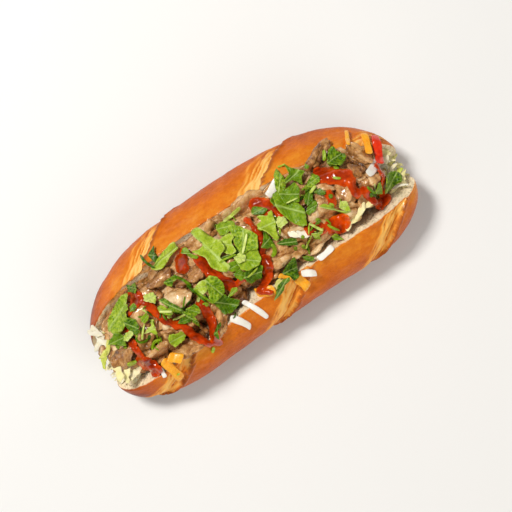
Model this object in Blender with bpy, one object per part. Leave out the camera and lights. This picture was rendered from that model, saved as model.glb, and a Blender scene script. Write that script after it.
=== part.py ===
"""A banh mi sandwich, opened and filled: run with blender --background --python part.py.

The roll lies along X with its split facing up (+Z). Its two halves lean outwards from one hinge of
uncut bread. A bed of shredded lettuce fills the bottom of the split, a heap of sliced meat lies on
it, and loose slices of meat, carrot, daikon and chilli are draped over the heap and the roll's edge.
"""

import math

import bmesh
import bpy
import numpy as np
from mathutils import Vector
from mathutils.bvhtree import BVHTree

MM = 0.001

# Driving dimensions of the roll as it was baked, before it is opened.
ROLL_LENGTH = 240 * MM
ROLL_HALF_WIDTH = 47 * MM
ROLL_HALF_HEIGHT = 28.5 * MM
END_FULLNESS = 4.0  # 2 gives elliptical ends, more gives blunter ones

# How it was split and how it lies.
HINGE_HEIGHT = 8 * MM  # uncut bread under the split
HINGE_BLEND = 3 * MM
HALVES_OVERLAP = 0.6 * MM  # how far each half crosses the middle below the split, so that they join
SETTLE = 1.2 * MM  # how much the underside flattens on the plate
LEAN_LEFT = math.radians(45)
LEAN_RIGHT = math.radians(34)
BOW = 10.5 * MM  # sideways curve of the whole roll, over half its length
BOW_CENTRE = 25 * MM
BOW_PEAK = 3 * MM  # sideways place of the bow where it reaches furthest back

# The baker's three slanting scores over the top crust.
SCORE_PLACES = (-73 * MM, 20 * MM, 98 * MM)
SCORE_SLANT = 26 * MM  # along X for each radian round the crust
SCORE_HALF_WIDTH = 11 * MM
SCORE_DEPTH = 1.8 * MM
SCORE_SINK = 1.6  # a score deepens over this many of its half widths, from its near edge
SCORE_STOP = 0.9  # and ends this many half widths beyond its middle
SCORE_FADE = 1.9  # angle round the crust, in radians, at which the scores have died away
EAR_HEIGHT = 0.9 * MM
EAR_PLACE, EAR_SPREAD = 1.05, 0.3  # in half widths of the score

# The filling, measured up the cut faces from the hinge.
WALL_GAP = 0.5 * MM
BED_GAP = 1.2 * MM
LETTUCE_START = 5 * MM
LETTUCE_DEPTH = 22 * MM
LETTUCE_TIP_SHARE = 0.62  # the bed's depth at the tips, as a share of its full depth
LETTUCE_RIPPLES = ((0.9 * MM, 9 * MM, 2.0), (0.5 * MM, 5.1 * MM, -3.0))  # height, length of a radian, skew
LETTUCE_LEFT, LETTUCE_RIGHT = -118 * MM, 112 * MM
LETTUCE_BLUNTNESS = 8  # the power that rounds off the bed's ends: more is blunter
MEAT_LEFT, MEAT_RIGHT = -112 * MM, 107 * MM
MEAT_BLUNTNESS = 6
MEAT_BELOW_REAR_RIM = 3 * MM
MEAT_BELOW_FRONT_RIM = 9 * MM
MEAT_CROWN = 14 * MM
CROWN_POWER = 0.7  # below 1 the heap's top is flatter and its sides are steeper than a parabola
WIDE_LUMP, FINE_LUMP = 1.9 * MM, 1.2 * MM  # heights of the two sizes of lump on the heap
END_SINK = 0.35  # how far the middle that an end rounds off to lies below the section's mean

# How finely the solids are meshed.
ROLL_STATIONS, LETTUCE_STATIONS, MEAT_STATIONS = 35, 33, 41
CRUST_POINTS, CUT_FACE_POINTS, BED_POINTS, HEAP_POINTS = 15, 7, 5, 13
SLICE_PITCH = 4.0  # most millimetres between the points of a slice
WELD_DISTANCE = 0.01 * MM  # points closer than this are one
SLIVER_EDGE = 0.02 * MM  # edges shorter than this are removed after the halves are joined

# How a loose slice lies on what is under it.
MEAT, PICKLE = "meat", "pickle"
DRAPE_GAP = 0.4 * MM  # the clearance it keeps
DRAPE_REACH = 3.0 * MM  # how far round each of its points it keeps that clearance
PROBE_RINGS = ((0.0, 1), (0.5, 6), (1.0, 10))  # rings of probes: share of that reach, and how many
MOST_SAG = {MEAT: 7 * MM, PICKLE: 5.5 * MM}  # how far it can hang below its highest point
EDGE_SHARE = {MEAT: 0.35, PICKLE: 0.85}  # its thickness at its edge, as a share of the middle
EDGE_POWER = 4  # how late it thins towards the edge
PICKLE_NARROWING = 0.12  # how much narrower a pickle's ends are
RAGGED_MEAN, RAGGED_OVAL, RAGGED_CORNER = 0.94, 0.10, 0.08  # a meat slice's outline, as shares of its radius

HALF_LENGTH = ROLL_LENGTH / 2

# Each slice: X and Y of its middle, heading in degrees, length, width and thickness in mm.
MEAT_SLICES = (
    (-105, -13, 20, 15, 13, 5),
    (-85, -24, 15, 18, 11, 4),
    (-80, -3, 70, 24, 16, 4),
    (-68, 14, -58, 18, 9, 3),
    (-54, 1, -10, 17, 13, 6),
    (-57, 18, 10, 18, 8, 3),
    (-64, -30, -20, 17, 11, 3),
    (-39, -26, 60, 18, 11, 3),
    (-35, 8, 20, 11, 9, 4),
    (-26, 25, 0, 13, 10, 3),
    (-13, 28, 40, 12, 10, 4),
    (8, -15, 30, 12, 10, 3),
    (21, -14, -10, 20, 12, 5),
    (44, -17, 12, 21, 9, 4),
    (36, -3, -15, 11, 7, 3),
    (50, 14, 45, 12, 9, 4),
    (60, 3, 15, 10, 6, 3),
    (72, -11, -50, 14, 11, 4),
    (75, 3, 30, 13, 12, 4),
    (84, -10, 0, 12, 11, 5),
    (73, 31, 28, 22, 8, 3),
    (96, 17, -60, 16, 11, 4),
    (88, 11, -70, 14, 8, 3),
    (96, -2, -10, 11, 8, 3),
)
CARROT_STRIPS = (
    (-81.5, -37, -81, 18, 6.5, 2.4),
    (-75, -31, -35, 10, 7, 3),
    (-3.5, -26, -20, 13, 7, 2.4),
    (20.5, -34, -76, 10, 7, 2.2),
    (13, -24, -40, 9, 4, 2),
    (104, 21, 68, 15, 5, 2.2),
    (95, 31, 60, 11, 3, 1.8),
)
DAIKON_STRIPS = (
    (-27, -34, -58, 15, 5, 2),
    (-14.5, -32, -66, 20, 4, 2),
    (43, -25.5, 10, 13, 4.5, 2),
    (27, -30.5, -32, 10, 5, 2.2),
    (98, 5, 22, 13, 6, 2.4),
    (-88, -35, 84, 8, 3, 1.8),
    (36, 28, 30, 12, 6, 2),
)
CHILLI_STRIPS = ((108, 14, 66, 20, 6, 3.2),)

# Each material: colour and roughness.
FINISHES = {
    "crust": ((0.66, 0.30, 0.10), 0.45),
    "lettuce": ((0.62, 0.70, 0.38), 0.5),
    "meat": ((0.36, 0.24, 0.16), 0.4),
    "carrot": ((0.95, 0.42, 0.06), 0.35),
    "daikon": ((0.90, 0.87, 0.76), 0.35),
    "chilli": ((0.75, 0.06, 0.02), 0.25),
}


def slot_material(name, colour, roughness):
    """A plain Principled material with the sub-part's colour."""
    material = bpy.data.materials.new(name)
    material.use_nodes = True
    shader = material.node_tree.nodes["Principled BSDF"]
    shader.inputs["Base Color"].default_value = (*colour, 1.0)
    shader.inputs["Roughness"].default_value = roughness
    shader.inputs["Metallic"].default_value = 0.0
    return material


def add_object(name, points, faces, material):
    """A named mesh object with its faces pointing out."""
    mesh = bpy.data.meshes.new(name)
    mesh.from_pydata([tuple(p) for p in points], [], [tuple(f) for f in faces])
    mesh.materials.append(material)
    obj = bpy.data.objects.new(name, mesh)
    bpy.context.scene.collection.objects.link(obj)
    work = bmesh.new()
    work.from_mesh(mesh)
    bmesh.ops.remove_doubles(work, verts=work.verts, dist=WELD_DISTANCE)
    bmesh.ops.recalc_face_normals(work, faces=work.faces)
    bmesh.ops.triangulate(work, faces=work.faces)
    work.to_mesh(mesh)
    work.free()
    mesh.shade_smooth()
    return obj


def loft(rings):
    """Points and faces of a closed skin through rings (stations x points x 3), with a fan at each end."""
    stations, count, _ = rings.shape
    points = rings.reshape(-1, 3).tolist()
    i, j = np.meshgrid(np.arange(stations - 1), np.arange(count), indexing="ij")
    k = (j + 1) % count
    quads = np.stack([i * count + j, i * count + k, (i + 1) * count + k, (i + 1) * count + j], axis=-1)
    faces = quads.reshape(-1, 4).tolist()
    for station in (0, stations - 1):
        centre = len(points)
        points.append(rings[station].mean(axis=0).tolist())
        start = station * count
        faces += [[start + n, start + (n + 1) % count, centre] for n in range(count)]
    return points, faces


def taper(x):
    """Share of the roll's full section left at station x: 1 in the middle, 0 at the tips."""
    t = np.clip(np.abs(x) / HALF_LENGTH, 0.0, 1.0)
    return np.sqrt(1.0 - t**END_FULLNESS)


def lean(x):
    """How far the cut faces lean out from upright at station x."""
    return LEAN_LEFT + (LEAN_RIGHT - LEAN_LEFT) * (x / ROLL_LENGTH + 0.5)


def centre_line(x):
    """The roll's sideways bow at station x."""
    return BOW_PEAK - BOW * ((x - BOW_CENTRE) / HALF_LENGTH) ** 2


def rim_radius(x):
    """Distance from the hinge up a cut face to the rim."""
    return ROLL_HALF_HEIGHT * (1.0 + taper(x)) - HINGE_HEIGHT


def score_relief(x, angle):
    """Height of the crust over its plain form: each score sinks gently, then climbs to a raised ear."""
    relief = np.zeros(np.broadcast(x, angle).shape)
    for place in SCORE_PLACES:
        across = (x - place - SCORE_SLANT * angle) / SCORE_HALF_WIDTH
        sink = np.clip((across + 1.0) / SCORE_SINK, 0.0, 1.0) * (across < SCORE_STOP)
        ear = np.exp(-(((across - EAR_PLACE) / EAR_SPREAD) ** 2))
        relief += EAR_HEIGHT * ear - SCORE_DEPTH * sink**1.5
    return relief * np.clip(SCORE_FADE - np.abs(angle), 0.0, 1.0)


def open_out(x, across, up, side):
    """Turns a point of a half outwards about the hinge, by the full lean at the top and nothing below."""
    rise = up - HINGE_HEIGHT
    radius = np.hypot(across, rise)
    turn = np.arctan2(across, rise)
    turn = turn + lean(x) * (1.0 - turn / math.pi) ** 2
    y = side * radius * np.sin(turn)
    z = HINGE_HEIGHT + radius * np.cos(turn)
    return y, z


def roll_half(side):
    """Rings of one half: its crust from the rim round to the underside, then back up its cut face."""
    s = np.linspace(-0.5, 0.5, ROLL_STATIONS)[1:-1]
    x = HALF_LENGTH * np.sin(math.pi * s)[:, None]
    half_width = ROLL_HALF_WIDTH * taper(x)
    half_height = ROLL_HALF_HEIGHT * taper(x)

    angle = np.linspace(0.0, math.pi, CRUST_POINTS)[None, :]
    relief = score_relief(x, side * angle)
    crust_across = (half_width + relief) * np.sin(angle)
    crust_up = ROLL_HALF_HEIGHT + (half_height + relief) * np.cos(angle)

    climb = np.linspace(0.0, 1.0, CUT_FACE_POINTS)[None, 1:-1]
    low, high = ROLL_HALF_HEIGHT - half_height, ROLL_HALF_HEIGHT + half_height
    face_up = low + (high - low) * climb
    face_across = np.zeros_like(face_up)

    across = np.concatenate([crust_across, face_across], axis=1)
    up = np.concatenate([crust_up, face_up], axis=1)
    y, z = open_out(x, across, up, side)
    below = np.clip((HINGE_HEIGHT - up) / HINGE_BLEND, 0.0, 1.0) * (across < HALVES_OVERLAP)
    y = y - side * HALVES_OVERLAP * below
    y = y + centre_line(x)
    z = np.maximum(z - SETTLE, 0.0)
    return np.stack([np.broadcast_to(x, y.shape), y, z], axis=-1)


def with_tips(rings):
    """Adds the two points that close a half at its ends."""
    tips = []
    for sign, ring in ((-1, rings[0]), (1, rings[-1])):
        x = sign * HALF_LENGTH
        rise = ROLL_HALF_HEIGHT - HINGE_HEIGHT
        outward = np.sign(ring[:, 1].mean() - centre_line(x))
        y = outward * rise * math.sin(lean(x)) + centre_line(x)
        z = HINGE_HEIGHT + rise * math.cos(lean(x)) - SETTLE
        tips.append(np.tile([x, y, z], (1, rings.shape[1], 1)))
    return np.concatenate([tips[0], rings, tips[1]])


def build_roll(material):
    """The bread roll: two leaning halves joined under the split into one solid."""
    rear = add_object("bread_roll", *loft(with_tips(roll_half(1))), material)
    front = add_object("front_half_helper", *loft(with_tips(roll_half(-1))), material)
    join = rear.modifiers.new("join_halves", "BOOLEAN")
    join.operation = "UNION"
    join.solver = "EXACT"
    join.object = front
    bpy.context.view_layer.objects.active = rear
    bpy.ops.object.modifier_apply(modifier=join.name)
    bpy.data.objects.remove(front)
    work = bmesh.new()
    work.from_mesh(rear.data)
    bmesh.ops.triangulate(work, faces=work.faces)
    bmesh.ops.dissolve_degenerate(work, edges=work.edges, dist=SLIVER_EDGE)
    bmesh.ops.triangulate(work, faces=work.faces)
    work.to_mesh(rear.data)
    work.free()
    return rear


def wall_point(x, side, distance, gap):
    """A point of the split's wall, this far up from the hinge and this far clear of the bread."""
    turn = lean(x)
    y = centre_line(x) + side * (distance * np.sin(turn) - gap * np.cos(turn))
    z = HINGE_HEIGHT - SETTLE + distance * np.cos(turn) + gap * np.sin(turn)
    return y, z


def bridge(start, end, count):
    """count evenly spread points from start to end, without the two ends, for each station."""
    share = np.linspace(0.0, 1.0, count + 2)[None, 1:-1]
    return [a + (b - a) * share for a, b in zip(start, end)]


def round_off(rings, x, left, right, power):
    """Draws the rings in towards their middles as they near either end."""
    middle, half = (left + right) / 2, (right - left) / 2
    share = (1.0 - np.clip(np.abs(x - middle) / half, 0.0, 1.0) ** power) ** (1.0 / power)
    share = share[:, :, None]
    centres = rings.mean(axis=1, keepdims=True)
    lowest = rings[:, :, 2].min(axis=1, keepdims=True)
    centres[:, :, 2] = lowest * END_SINK + centres[:, :, 2] * (1.0 - END_SINK)
    return np.where([True, False, False], rings, centres + (rings - centres) * share)


def lettuce_top(x, share):
    """Depth of the lettuce bed at station x, uneven across its width (share -1 to 1)."""
    ripple = sum(height * np.sin(x / length + skew * share) for height, length, skew in LETTUCE_RIPPLES)
    return LETTUCE_DEPTH * (LETTUCE_TIP_SHARE + (1.0 - LETTUCE_TIP_SHARE) * taper(x)) + ripple


def span(left, right, count):
    """Stations along X, closer together towards the two ends."""
    s = np.sin(np.linspace(-math.pi / 2, math.pi / 2, count))[1:-1]
    return ((left + right) / 2 + (right - left) / 2 * s)[:, None]


def stack(x, parts):
    """Rings from a list of (y, z) pieces laid end to end round the section."""
    y = np.concatenate([np.broadcast_to(p[0], (len(x), np.shape(p[0])[1])) for p in parts], axis=1)
    z = np.concatenate([np.broadcast_to(p[1], (len(x), np.shape(p[1])[1])) for p in parts], axis=1)
    return np.stack([np.broadcast_to(x, y.shape), y, z], axis=-1)


def lettuce_line(x, count, gap):
    """The lettuce bed's top from its front edge to its rear edge, lifted by gap."""
    share = np.linspace(-1.0, 1.0, count)[None, :]
    front = wall_point(x, -1, lettuce_top(x, -1.0), WALL_GAP)
    rear = wall_point(x, 1, lettuce_top(x, 1.0), WALL_GAP)
    blend = (share + 1.0) / 2.0
    y = front[0] + (rear[0] - front[0]) * blend
    z = front[1] + (rear[1] - front[1]) * blend
    return y, z + gap


def build_lettuce(material):
    """The wedge of shredded lettuce in the bottom of the split, showing at both ends."""
    x = span(LETTUCE_LEFT, LETTUCE_RIGHT, LETTUCE_STATIONS)
    bottom_rear = wall_point(x, 1, LETTUCE_START, WALL_GAP)
    bottom_front = wall_point(x, -1, LETTUCE_START, WALL_GAP)
    top = lettuce_line(x, BED_POINTS, 0.0)
    front_wall = bridge(bottom_front, (top[0][:, :1], top[1][:, :1]), 1)
    rear_wall = bridge((top[0][:, -1:], top[1][:, -1:]), bottom_rear, 1)
    rings = stack(x, [bottom_front, front_wall, top, rear_wall, bottom_rear])
    rings = round_off(rings, x, LETTUCE_LEFT, LETTUCE_RIGHT, LETTUCE_BLUNTNESS)
    return add_object("lettuce_bed", *loft(rings), material)


def meat_lumps(x, share):
    """Unevenness of the heap's top, from slices under the surface: products of waves that slant across it."""
    wide = np.sin(x / (11 * MM) + 1.7 * share + 0.4) * np.cos(2.6 * share - x / (19 * MM))
    fine = np.sin(x / (5.3 * MM) - 4.1 * share) * np.cos(5.0 * share + x / (8.1 * MM))
    return WIDE_LUMP * wide + FINE_LUMP * fine


def build_meat_heap(material):
    """The heap of sliced meat: from the lettuce up both walls, with a crowned and lumpy top."""
    x = span(MEAT_LEFT, MEAT_RIGHT, MEAT_STATIONS)
    share = np.linspace(1.0, -1.0, HEAP_POINTS)[None, :]
    rear = wall_point(x, 1, rim_radius(x) - MEAT_BELOW_REAR_RIM, WALL_GAP)
    front = wall_point(x, -1, rim_radius(x) - MEAT_BELOW_FRONT_RIM, WALL_GAP)
    blend = (share + 1.0) / 2.0
    top_y = front[0] + (rear[0] - front[0]) * blend
    chord = front[1] + (rear[1] - front[1]) * blend
    dome = np.maximum(1.0 - share**2, 0.0)
    top_z = chord + (MEAT_CROWN * taper(x) + meat_lumps(x, share)) * dome**CROWN_POWER
    bed = lettuce_line(x, BED_POINTS, BED_GAP)
    front_wall = bridge((top_y[:, -1:], top_z[:, -1:]), (bed[0][:, :1], bed[1][:, :1]), 1)
    rear_wall = bridge((bed[0][:, -1:], bed[1][:, -1:]), (top_y[:, :1], top_z[:, :1]), 1)
    rings = stack(x, [(top_y, top_z), front_wall, bed, rear_wall])
    rings = round_off(rings, x, MEAT_LEFT, MEAT_RIGHT, MEAT_BLUNTNESS)
    return add_object("meat_heap", *loft(rings), material)


def surface_under(solids):
    """A search tree of all the triangles built so far, to lay the next slice on."""
    points, faces = [], []
    for solid in solids:
        start = len(points)
        points += [v.co.copy() for v in solid.data.vertices]
        faces += [[start + n for n in p.vertices] for p in solid.data.polygons]
    return BVHTree.FromPolygons(points, faces)


def highest_near(tree, x, y, reach):
    """The highest surface within reach of a point, looking straight down."""
    found = [0.0]
    for share, count in PROBE_RINGS:
        for n in range(count):
            turn = 2 * math.pi * n / count
            above = Vector((x + reach * share * math.cos(turn), y + reach * share * math.sin(turn), 1.0))
            hit = tree.ray_cast(above, Vector((0, 0, -1)))[0]
            if hit is not None:
                found.append(hit.z)
    return max(found)


def slice_plan(kind, number, u, v):
    """Where a point of the unit square lies in a slice: a ragged round for meat, near square for a pickle."""
    if kind == PICKLE:
        return u, v * (1.0 - PICKLE_NARROWING * u * u)
    turn = math.atan2(v, u)
    ragged = RAGGED_MEAN + RAGGED_OVAL * math.sin(2 * turn + number)
    ragged += RAGGED_CORNER * math.sin(3 * turn + 2.3 * number)
    return ragged * u * math.sqrt(1.0 - v * v / 2), ragged * v * math.sqrt(1.0 - u * u / 2)


def build_slice(name, kind, number, layout, material, solids):
    """One slice draped over everything under it: an under skin and an over skin, joined round the edge."""
    x, y, heading, length, width, thickness = layout
    heading = math.radians(heading)
    columns = max(3, math.ceil(length / SLICE_PITCH) + 1)
    rows = max(3, math.ceil(width / SLICE_PITCH) + 1)
    tree = surface_under(solids)
    plan, lowest, fullness = [], [], []
    for u in np.linspace(-1.0, 1.0, columns):
        for v in np.linspace(-1.0, 1.0, rows):
            along, across = slice_plan(kind, number, u, v)
            along, across = along * length / 2 * MM, across * width / 2 * MM
            px = x * MM + along * math.cos(heading) - across * math.sin(heading)
            py = y * MM + along * math.sin(heading) + across * math.cos(heading)
            plan.append((px, py))
            lowest.append(highest_near(tree, px, py, DRAPE_REACH) + DRAPE_GAP)
            fullness.append(1.0 - (1.0 - EDGE_SHARE[kind]) * max(abs(u), abs(v)) ** EDGE_POWER)
    floor = max(lowest) - MOST_SAG[kind]
    under = [(px, py, max(pz, floor)) for (px, py), pz in zip(plan, lowest)]
    over = [(px, py, pz + thickness * MM * share) for (px, py, pz), share in zip(under, fullness)]
    cells = [(i * rows + j, (i + 1) * rows + j) for i in range(columns - 1) for j in range(rows - 1)]
    count = len(under)
    faces = [(a, a + 1, b + 1, b) for a, b in cells]
    faces += [tuple(count + n for n in (a, b, b + 1, a + 1)) for a, b in cells]
    last = (columns - 1) * rows
    rim = [i * rows for i in range(columns)] + [last + j for j in range(1, rows)]
    rim += [i * rows + rows - 1 for i in range(columns - 2, -1, -1)] + list(range(rows - 2, 0, -1))
    for here, there in zip(rim, rim[1:] + rim[:1]):
        faces.append((here, there, count + there, count + here))
    return add_object(name, under + over, faces, material)


def centre_over_origin(solids):
    """Moves every solid so that the middle of the whole object's base is the origin."""
    points = np.array([v.co for solid in solids for v in solid.data.vertices])
    low, high = points.min(axis=0), points.max(axis=0)
    shift = Vector((-(low[0] + high[0]) / 2, -(low[1] + high[1]) / 2, -low[2]))
    for solid in solids:
        for vertex in solid.data.vertices:
            vertex.co += shift
        solid.data.update()
    print("size in mm:", np.round((high - low) / MM, 1), "shift in mm:", np.round(np.array(shift) / MM, 2))


def main():
    """Clears the scene, then builds the roll, its filling and the loose slices on top."""
    for obj in list(bpy.data.objects):
        bpy.data.objects.remove(obj)
    slots = {name: slot_material(name, colour, roughness) for name, (colour, roughness) in FINISHES.items()}

    solids = [build_roll(slots["crust"]), build_lettuce(slots["lettuce"]), build_meat_heap(slots["meat"])]
    toppings = (
        ("meat_slice", MEAT, MEAT_SLICES, "meat"),
        ("carrot_strip", PICKLE, CARROT_STRIPS, "carrot"),
        ("daikon_strip", PICKLE, DAIKON_STRIPS, "daikon"),
        ("chilli_strip", PICKLE, CHILLI_STRIPS, "chilli"),
    )
    for label, kind, layouts, slot in toppings:
        for number, layout in enumerate(layouts, start=1):
            name = f"{label}_{number:02d}"
            solids.append(build_slice(name, kind, number, layout, slots[slot], solids))
    centre_over_origin(solids)


main()
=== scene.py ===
# %% [markdown]
# # A banh mi sandwich
# This file finishes a banh mi sandwich whose solids were built earlier: a split roll, a bed of
# lettuce, a heap of meat and the loose slices on top. Here each of them gets its real surface,
# and the herbs and the sauce are added. Every shape is a grid of points worked out with numpy.

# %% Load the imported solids
import itertools
import math

import bmesh
import bpy
import numpy as np
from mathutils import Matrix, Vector


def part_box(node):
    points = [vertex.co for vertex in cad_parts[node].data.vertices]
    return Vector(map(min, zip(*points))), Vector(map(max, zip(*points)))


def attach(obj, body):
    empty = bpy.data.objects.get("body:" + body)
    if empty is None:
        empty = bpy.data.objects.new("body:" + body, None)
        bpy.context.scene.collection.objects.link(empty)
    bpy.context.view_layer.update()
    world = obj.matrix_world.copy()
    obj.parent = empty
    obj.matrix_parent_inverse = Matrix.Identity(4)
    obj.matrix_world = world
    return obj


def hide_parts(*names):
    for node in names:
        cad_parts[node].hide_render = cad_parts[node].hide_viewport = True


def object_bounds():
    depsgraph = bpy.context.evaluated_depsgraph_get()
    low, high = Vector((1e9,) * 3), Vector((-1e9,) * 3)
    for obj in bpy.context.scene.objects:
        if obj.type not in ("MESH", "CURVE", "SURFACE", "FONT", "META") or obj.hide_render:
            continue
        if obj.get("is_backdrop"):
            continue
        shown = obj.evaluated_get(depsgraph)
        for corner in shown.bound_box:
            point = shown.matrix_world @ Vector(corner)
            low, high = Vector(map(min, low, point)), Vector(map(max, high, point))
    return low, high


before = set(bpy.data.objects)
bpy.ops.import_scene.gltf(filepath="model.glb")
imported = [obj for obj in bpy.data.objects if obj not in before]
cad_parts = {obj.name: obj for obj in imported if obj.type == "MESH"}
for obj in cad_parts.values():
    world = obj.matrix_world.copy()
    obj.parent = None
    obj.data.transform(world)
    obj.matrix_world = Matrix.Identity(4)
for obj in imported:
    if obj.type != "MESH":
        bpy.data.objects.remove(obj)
cad_low, cad_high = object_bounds()
MM = 0.001
print("solids:", len(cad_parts), "size in mm:", [round(v / MM, 1) for v in cad_high - cad_low])

# %% [markdown]
# ## Room, light and camera
# The main light is a small window, high behind the food and a little to its left. It is the only
# lamp that glossy parts mirror. Three larger lamps lift the shadows and are left out of
# reflections. The camera looks straight down and is turned, so that the roll runs up to the right.

# %% Floor, lights and camera
CAMERA_TURN = math.radians(-32)
FRAME_SPAN = 342.5 * MM  # width of the view at the height of the roll's widest line
WIDEST_HEIGHT = 20 * MM
CAMERA_RISE = 800 * MM
AIM_X, AIM_Y = 3.7 * MM, -3.85 * MM
LAMP_AIM = Vector((0, 0, 30 * MM))
FLOOR_HALF = 3.0  # metres
SENSOR_WIDTH = 36.0  # mm
WARM_WHITE = (1.0, 0.985, 0.96)


def place_in_scene(name, data):
    """A new object of this name, linked to the scene."""
    obj = bpy.data.objects.new(name, data)
    bpy.context.scene.collection.objects.link(obj)
    return obj


def plain_material(name, colour, roughness):
    """A Principled material of one colour, for the floor."""
    material = bpy.data.materials.new(name)
    material.use_nodes = True
    shader = material.node_tree.nodes["Principled BSDF"]
    shader.inputs["Base Color"].default_value = (*colour, 1.0)
    shader.inputs["Roughness"].default_value = roughness
    return material


def add_floor():
    """A wide pale square under the sandwich."""
    mesh = bpy.data.meshes.new("floor")
    corners = [(x * FLOOR_HALF, y * FLOOR_HALF, 0) for x, y in ((-1, -1), (1, -1), (1, 1), (-1, 1))]
    mesh.from_pydata(corners, [], [(0, 1, 2, 3)])
    mesh.materials.append(plain_material("pale_floor", (0.88, 0.87, 0.85), 0.6))
    floor = place_in_scene("floor", mesh)
    floor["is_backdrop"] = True


def add_lamp(name, place, size, power, colour, shines=True):
    """A square lamp aimed at the sandwich. One that doesn't shine is left out of reflections."""
    data = bpy.data.lights.new(name, "AREA")
    data.size, data.energy, data.color = size, power, colour
    lamp = place_in_scene(name, data)
    lamp.location = place
    lamp.rotation_euler = (LAMP_AIM - Vector(place)).to_track_quat("-Z", "Y").to_euler()
    lamp.visible_glossy = shines


def add_camera():
    """A camera over the sandwich, looking down, turned about its own line of sight."""
    data = bpy.data.cameras.new("camera")
    data.sensor_width = SENSOR_WIDTH
    data.lens = SENSOR_WIDTH * CAMERA_RISE / FRAME_SPAN
    camera = place_in_scene("camera", data)
    camera.location = (AIM_X, AIM_Y, WIDEST_HEIGHT + CAMERA_RISE)
    camera.rotation_euler = (0.0, 0.0, CAMERA_TURN)
    bpy.context.scene.camera = camera


def add_sky(strength):
    """Even light from all round."""
    world = bpy.data.worlds.new("soft_sky")
    world.use_nodes = True
    light = world.node_tree.nodes["Background"].inputs
    light["Color"].default_value = (1.0, 0.99, 0.97, 1.0)
    light["Strength"].default_value = strength
    bpy.context.scene.world = world


add_floor()
add_camera()
add_sky(0.13)
add_lamp("window", (-0.33, 0.68, 1.24), 0.32, 16.5, WARM_WHITE)
add_lamp("front_fill", (0.25, -1.15, 0.75), 1.2, 9.5, (1.0, 0.975, 0.93), shines=False)
add_lamp("left_fill", (-1.20, -0.10, 0.75), 1.0, 2.5, WARM_WHITE, shines=False)
add_lamp("right_fill", (1.20, 0.25, 0.75), 1.0, 2.5, WARM_WHITE, shines=False)
bpy.context.scene.view_settings.view_transform = "Standard"
print("camera lens in mm:", round(bpy.context.scene.camera.data.lens, 1))

# %% [markdown]
# ## Tools for shapes
# Real food is uneven at every size, so the first tool is value noise: a random number at each
# corner of a cubic grid, blended smoothly in between. The others turn grids of points into closed
# meshes, and keep a map of heights seen from above, so that the next thing can lie on it.

# %% Noise


def corner_value(i, j, k, seed):
    """A repeatable number from 0 to 1 for each corner of space: products with large primes, stirred."""
    n = (i * 73856093) ^ (j * 19349663) ^ (k * 83492791) ^ (seed * 6542989)
    n = ((n ^ (n >> 13)) * 1274126177) & 0x7FFFFFFF
    return ((n ^ (n >> 15)) & 0xFFFF) / 65535.0


def noise(points, size, seed=0):
    """Value noise from -1 to 1: the eight corner values round each point, mixed by 3t^2 - 2t^3."""
    scaled = np.asarray(points, float) / size
    base = np.floor(scaled).astype(np.int64)
    t = scaled - base
    t = t * t * (3 - 2 * t)
    total = np.zeros(t.shape[:-1])
    for corner in itertools.product((0, 1), repeat=3):
        share = np.ones(t.shape[:-1])
        for axis, bit in enumerate(corner):
            share = share * (t[..., axis] if bit else 1 - t[..., axis])
        total += share * corner_value(*[base[..., a] + corner[a] for a in range(3)], seed)
    return 2 * total - 1


def rough(points, size, seed=0, octaves=3):
    """Noise plus its own finer copies: each copy is half as large and half as strong."""
    return sum(noise(points, size / 2**n, seed + n) / 2**n for n in range(octaves))


# %% [markdown]
# A food's surface is worked out as a grid of points. The helpers below number the quads between
# the points, find the grid's normals and thicken it into a closed sheet. A batch gathers many
# such sheets into one mesh, because a thousand small objects would be slow.

# %% Grids to meshes


def together(*parts):
    """Grids of single numbers, or plain numbers, put together as one grid of points."""
    return np.stack(np.broadcast_arrays(*parts), axis=-1)


def lattice(shape, ahead=(-1, 1), aside=(-1, 1)):
    """Two grids of even steps: one that rises from row to row and one from column to column."""
    return np.meshgrid(np.linspace(*ahead, shape[0]), np.linspace(*aside, shape[1]), indexing="ij")


def grid_quads(rows, columns, start=0):
    """Corner numbers of the quads between the points of a grid, counted row by row."""
    index = np.arange(rows * columns).reshape(rows, columns) + start
    corners = [index[:-1, :-1], index[1:, :-1], index[1:, 1:], index[:-1, 1:]]
    return np.stack(corners, axis=-1).reshape(-1, 4)


def rim_loop(rows, columns):
    """The grid's edge points in order, once round."""
    index = np.arange(rows * columns).reshape(rows, columns)
    return np.concatenate([index[:, 0], index[-1, 1:], index[-2::-1, -1], index[0, -2:0:-1]])


def grid_normals(grid):
    """Unit normals of a grid of points: the cross product of its two directions."""
    normal = np.cross(np.gradient(grid, axis=0), np.gradient(grid, axis=1))
    return normal / np.maximum(np.linalg.norm(normal, axis=-1, keepdims=True), 1e-12)


def thicken(middle, depth):
    """Closed points and quads of a sheet: its middle grid, moved half the depth to each side.

    The way it moves is the grid's normal, and the depth is one number or one for each point.
    """
    rows, columns = middle.shape[:2]
    offset = grid_normals(middle) * np.broadcast_to(depth, (rows, columns))[..., None] / 2
    points = np.concatenate([(middle + offset).reshape(-1, 3), (middle - offset).reshape(-1, 3)])
    count = rows * columns
    top = grid_quads(rows, columns)
    under = grid_quads(rows, columns, count)[:, ::-1]
    loop = rim_loop(rows, columns)
    ahead = np.roll(loop, -1)
    side = np.stack([ahead, loop, loop + count, ahead + count], axis=-1)
    return points, np.concatenate([top, under, side])


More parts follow.
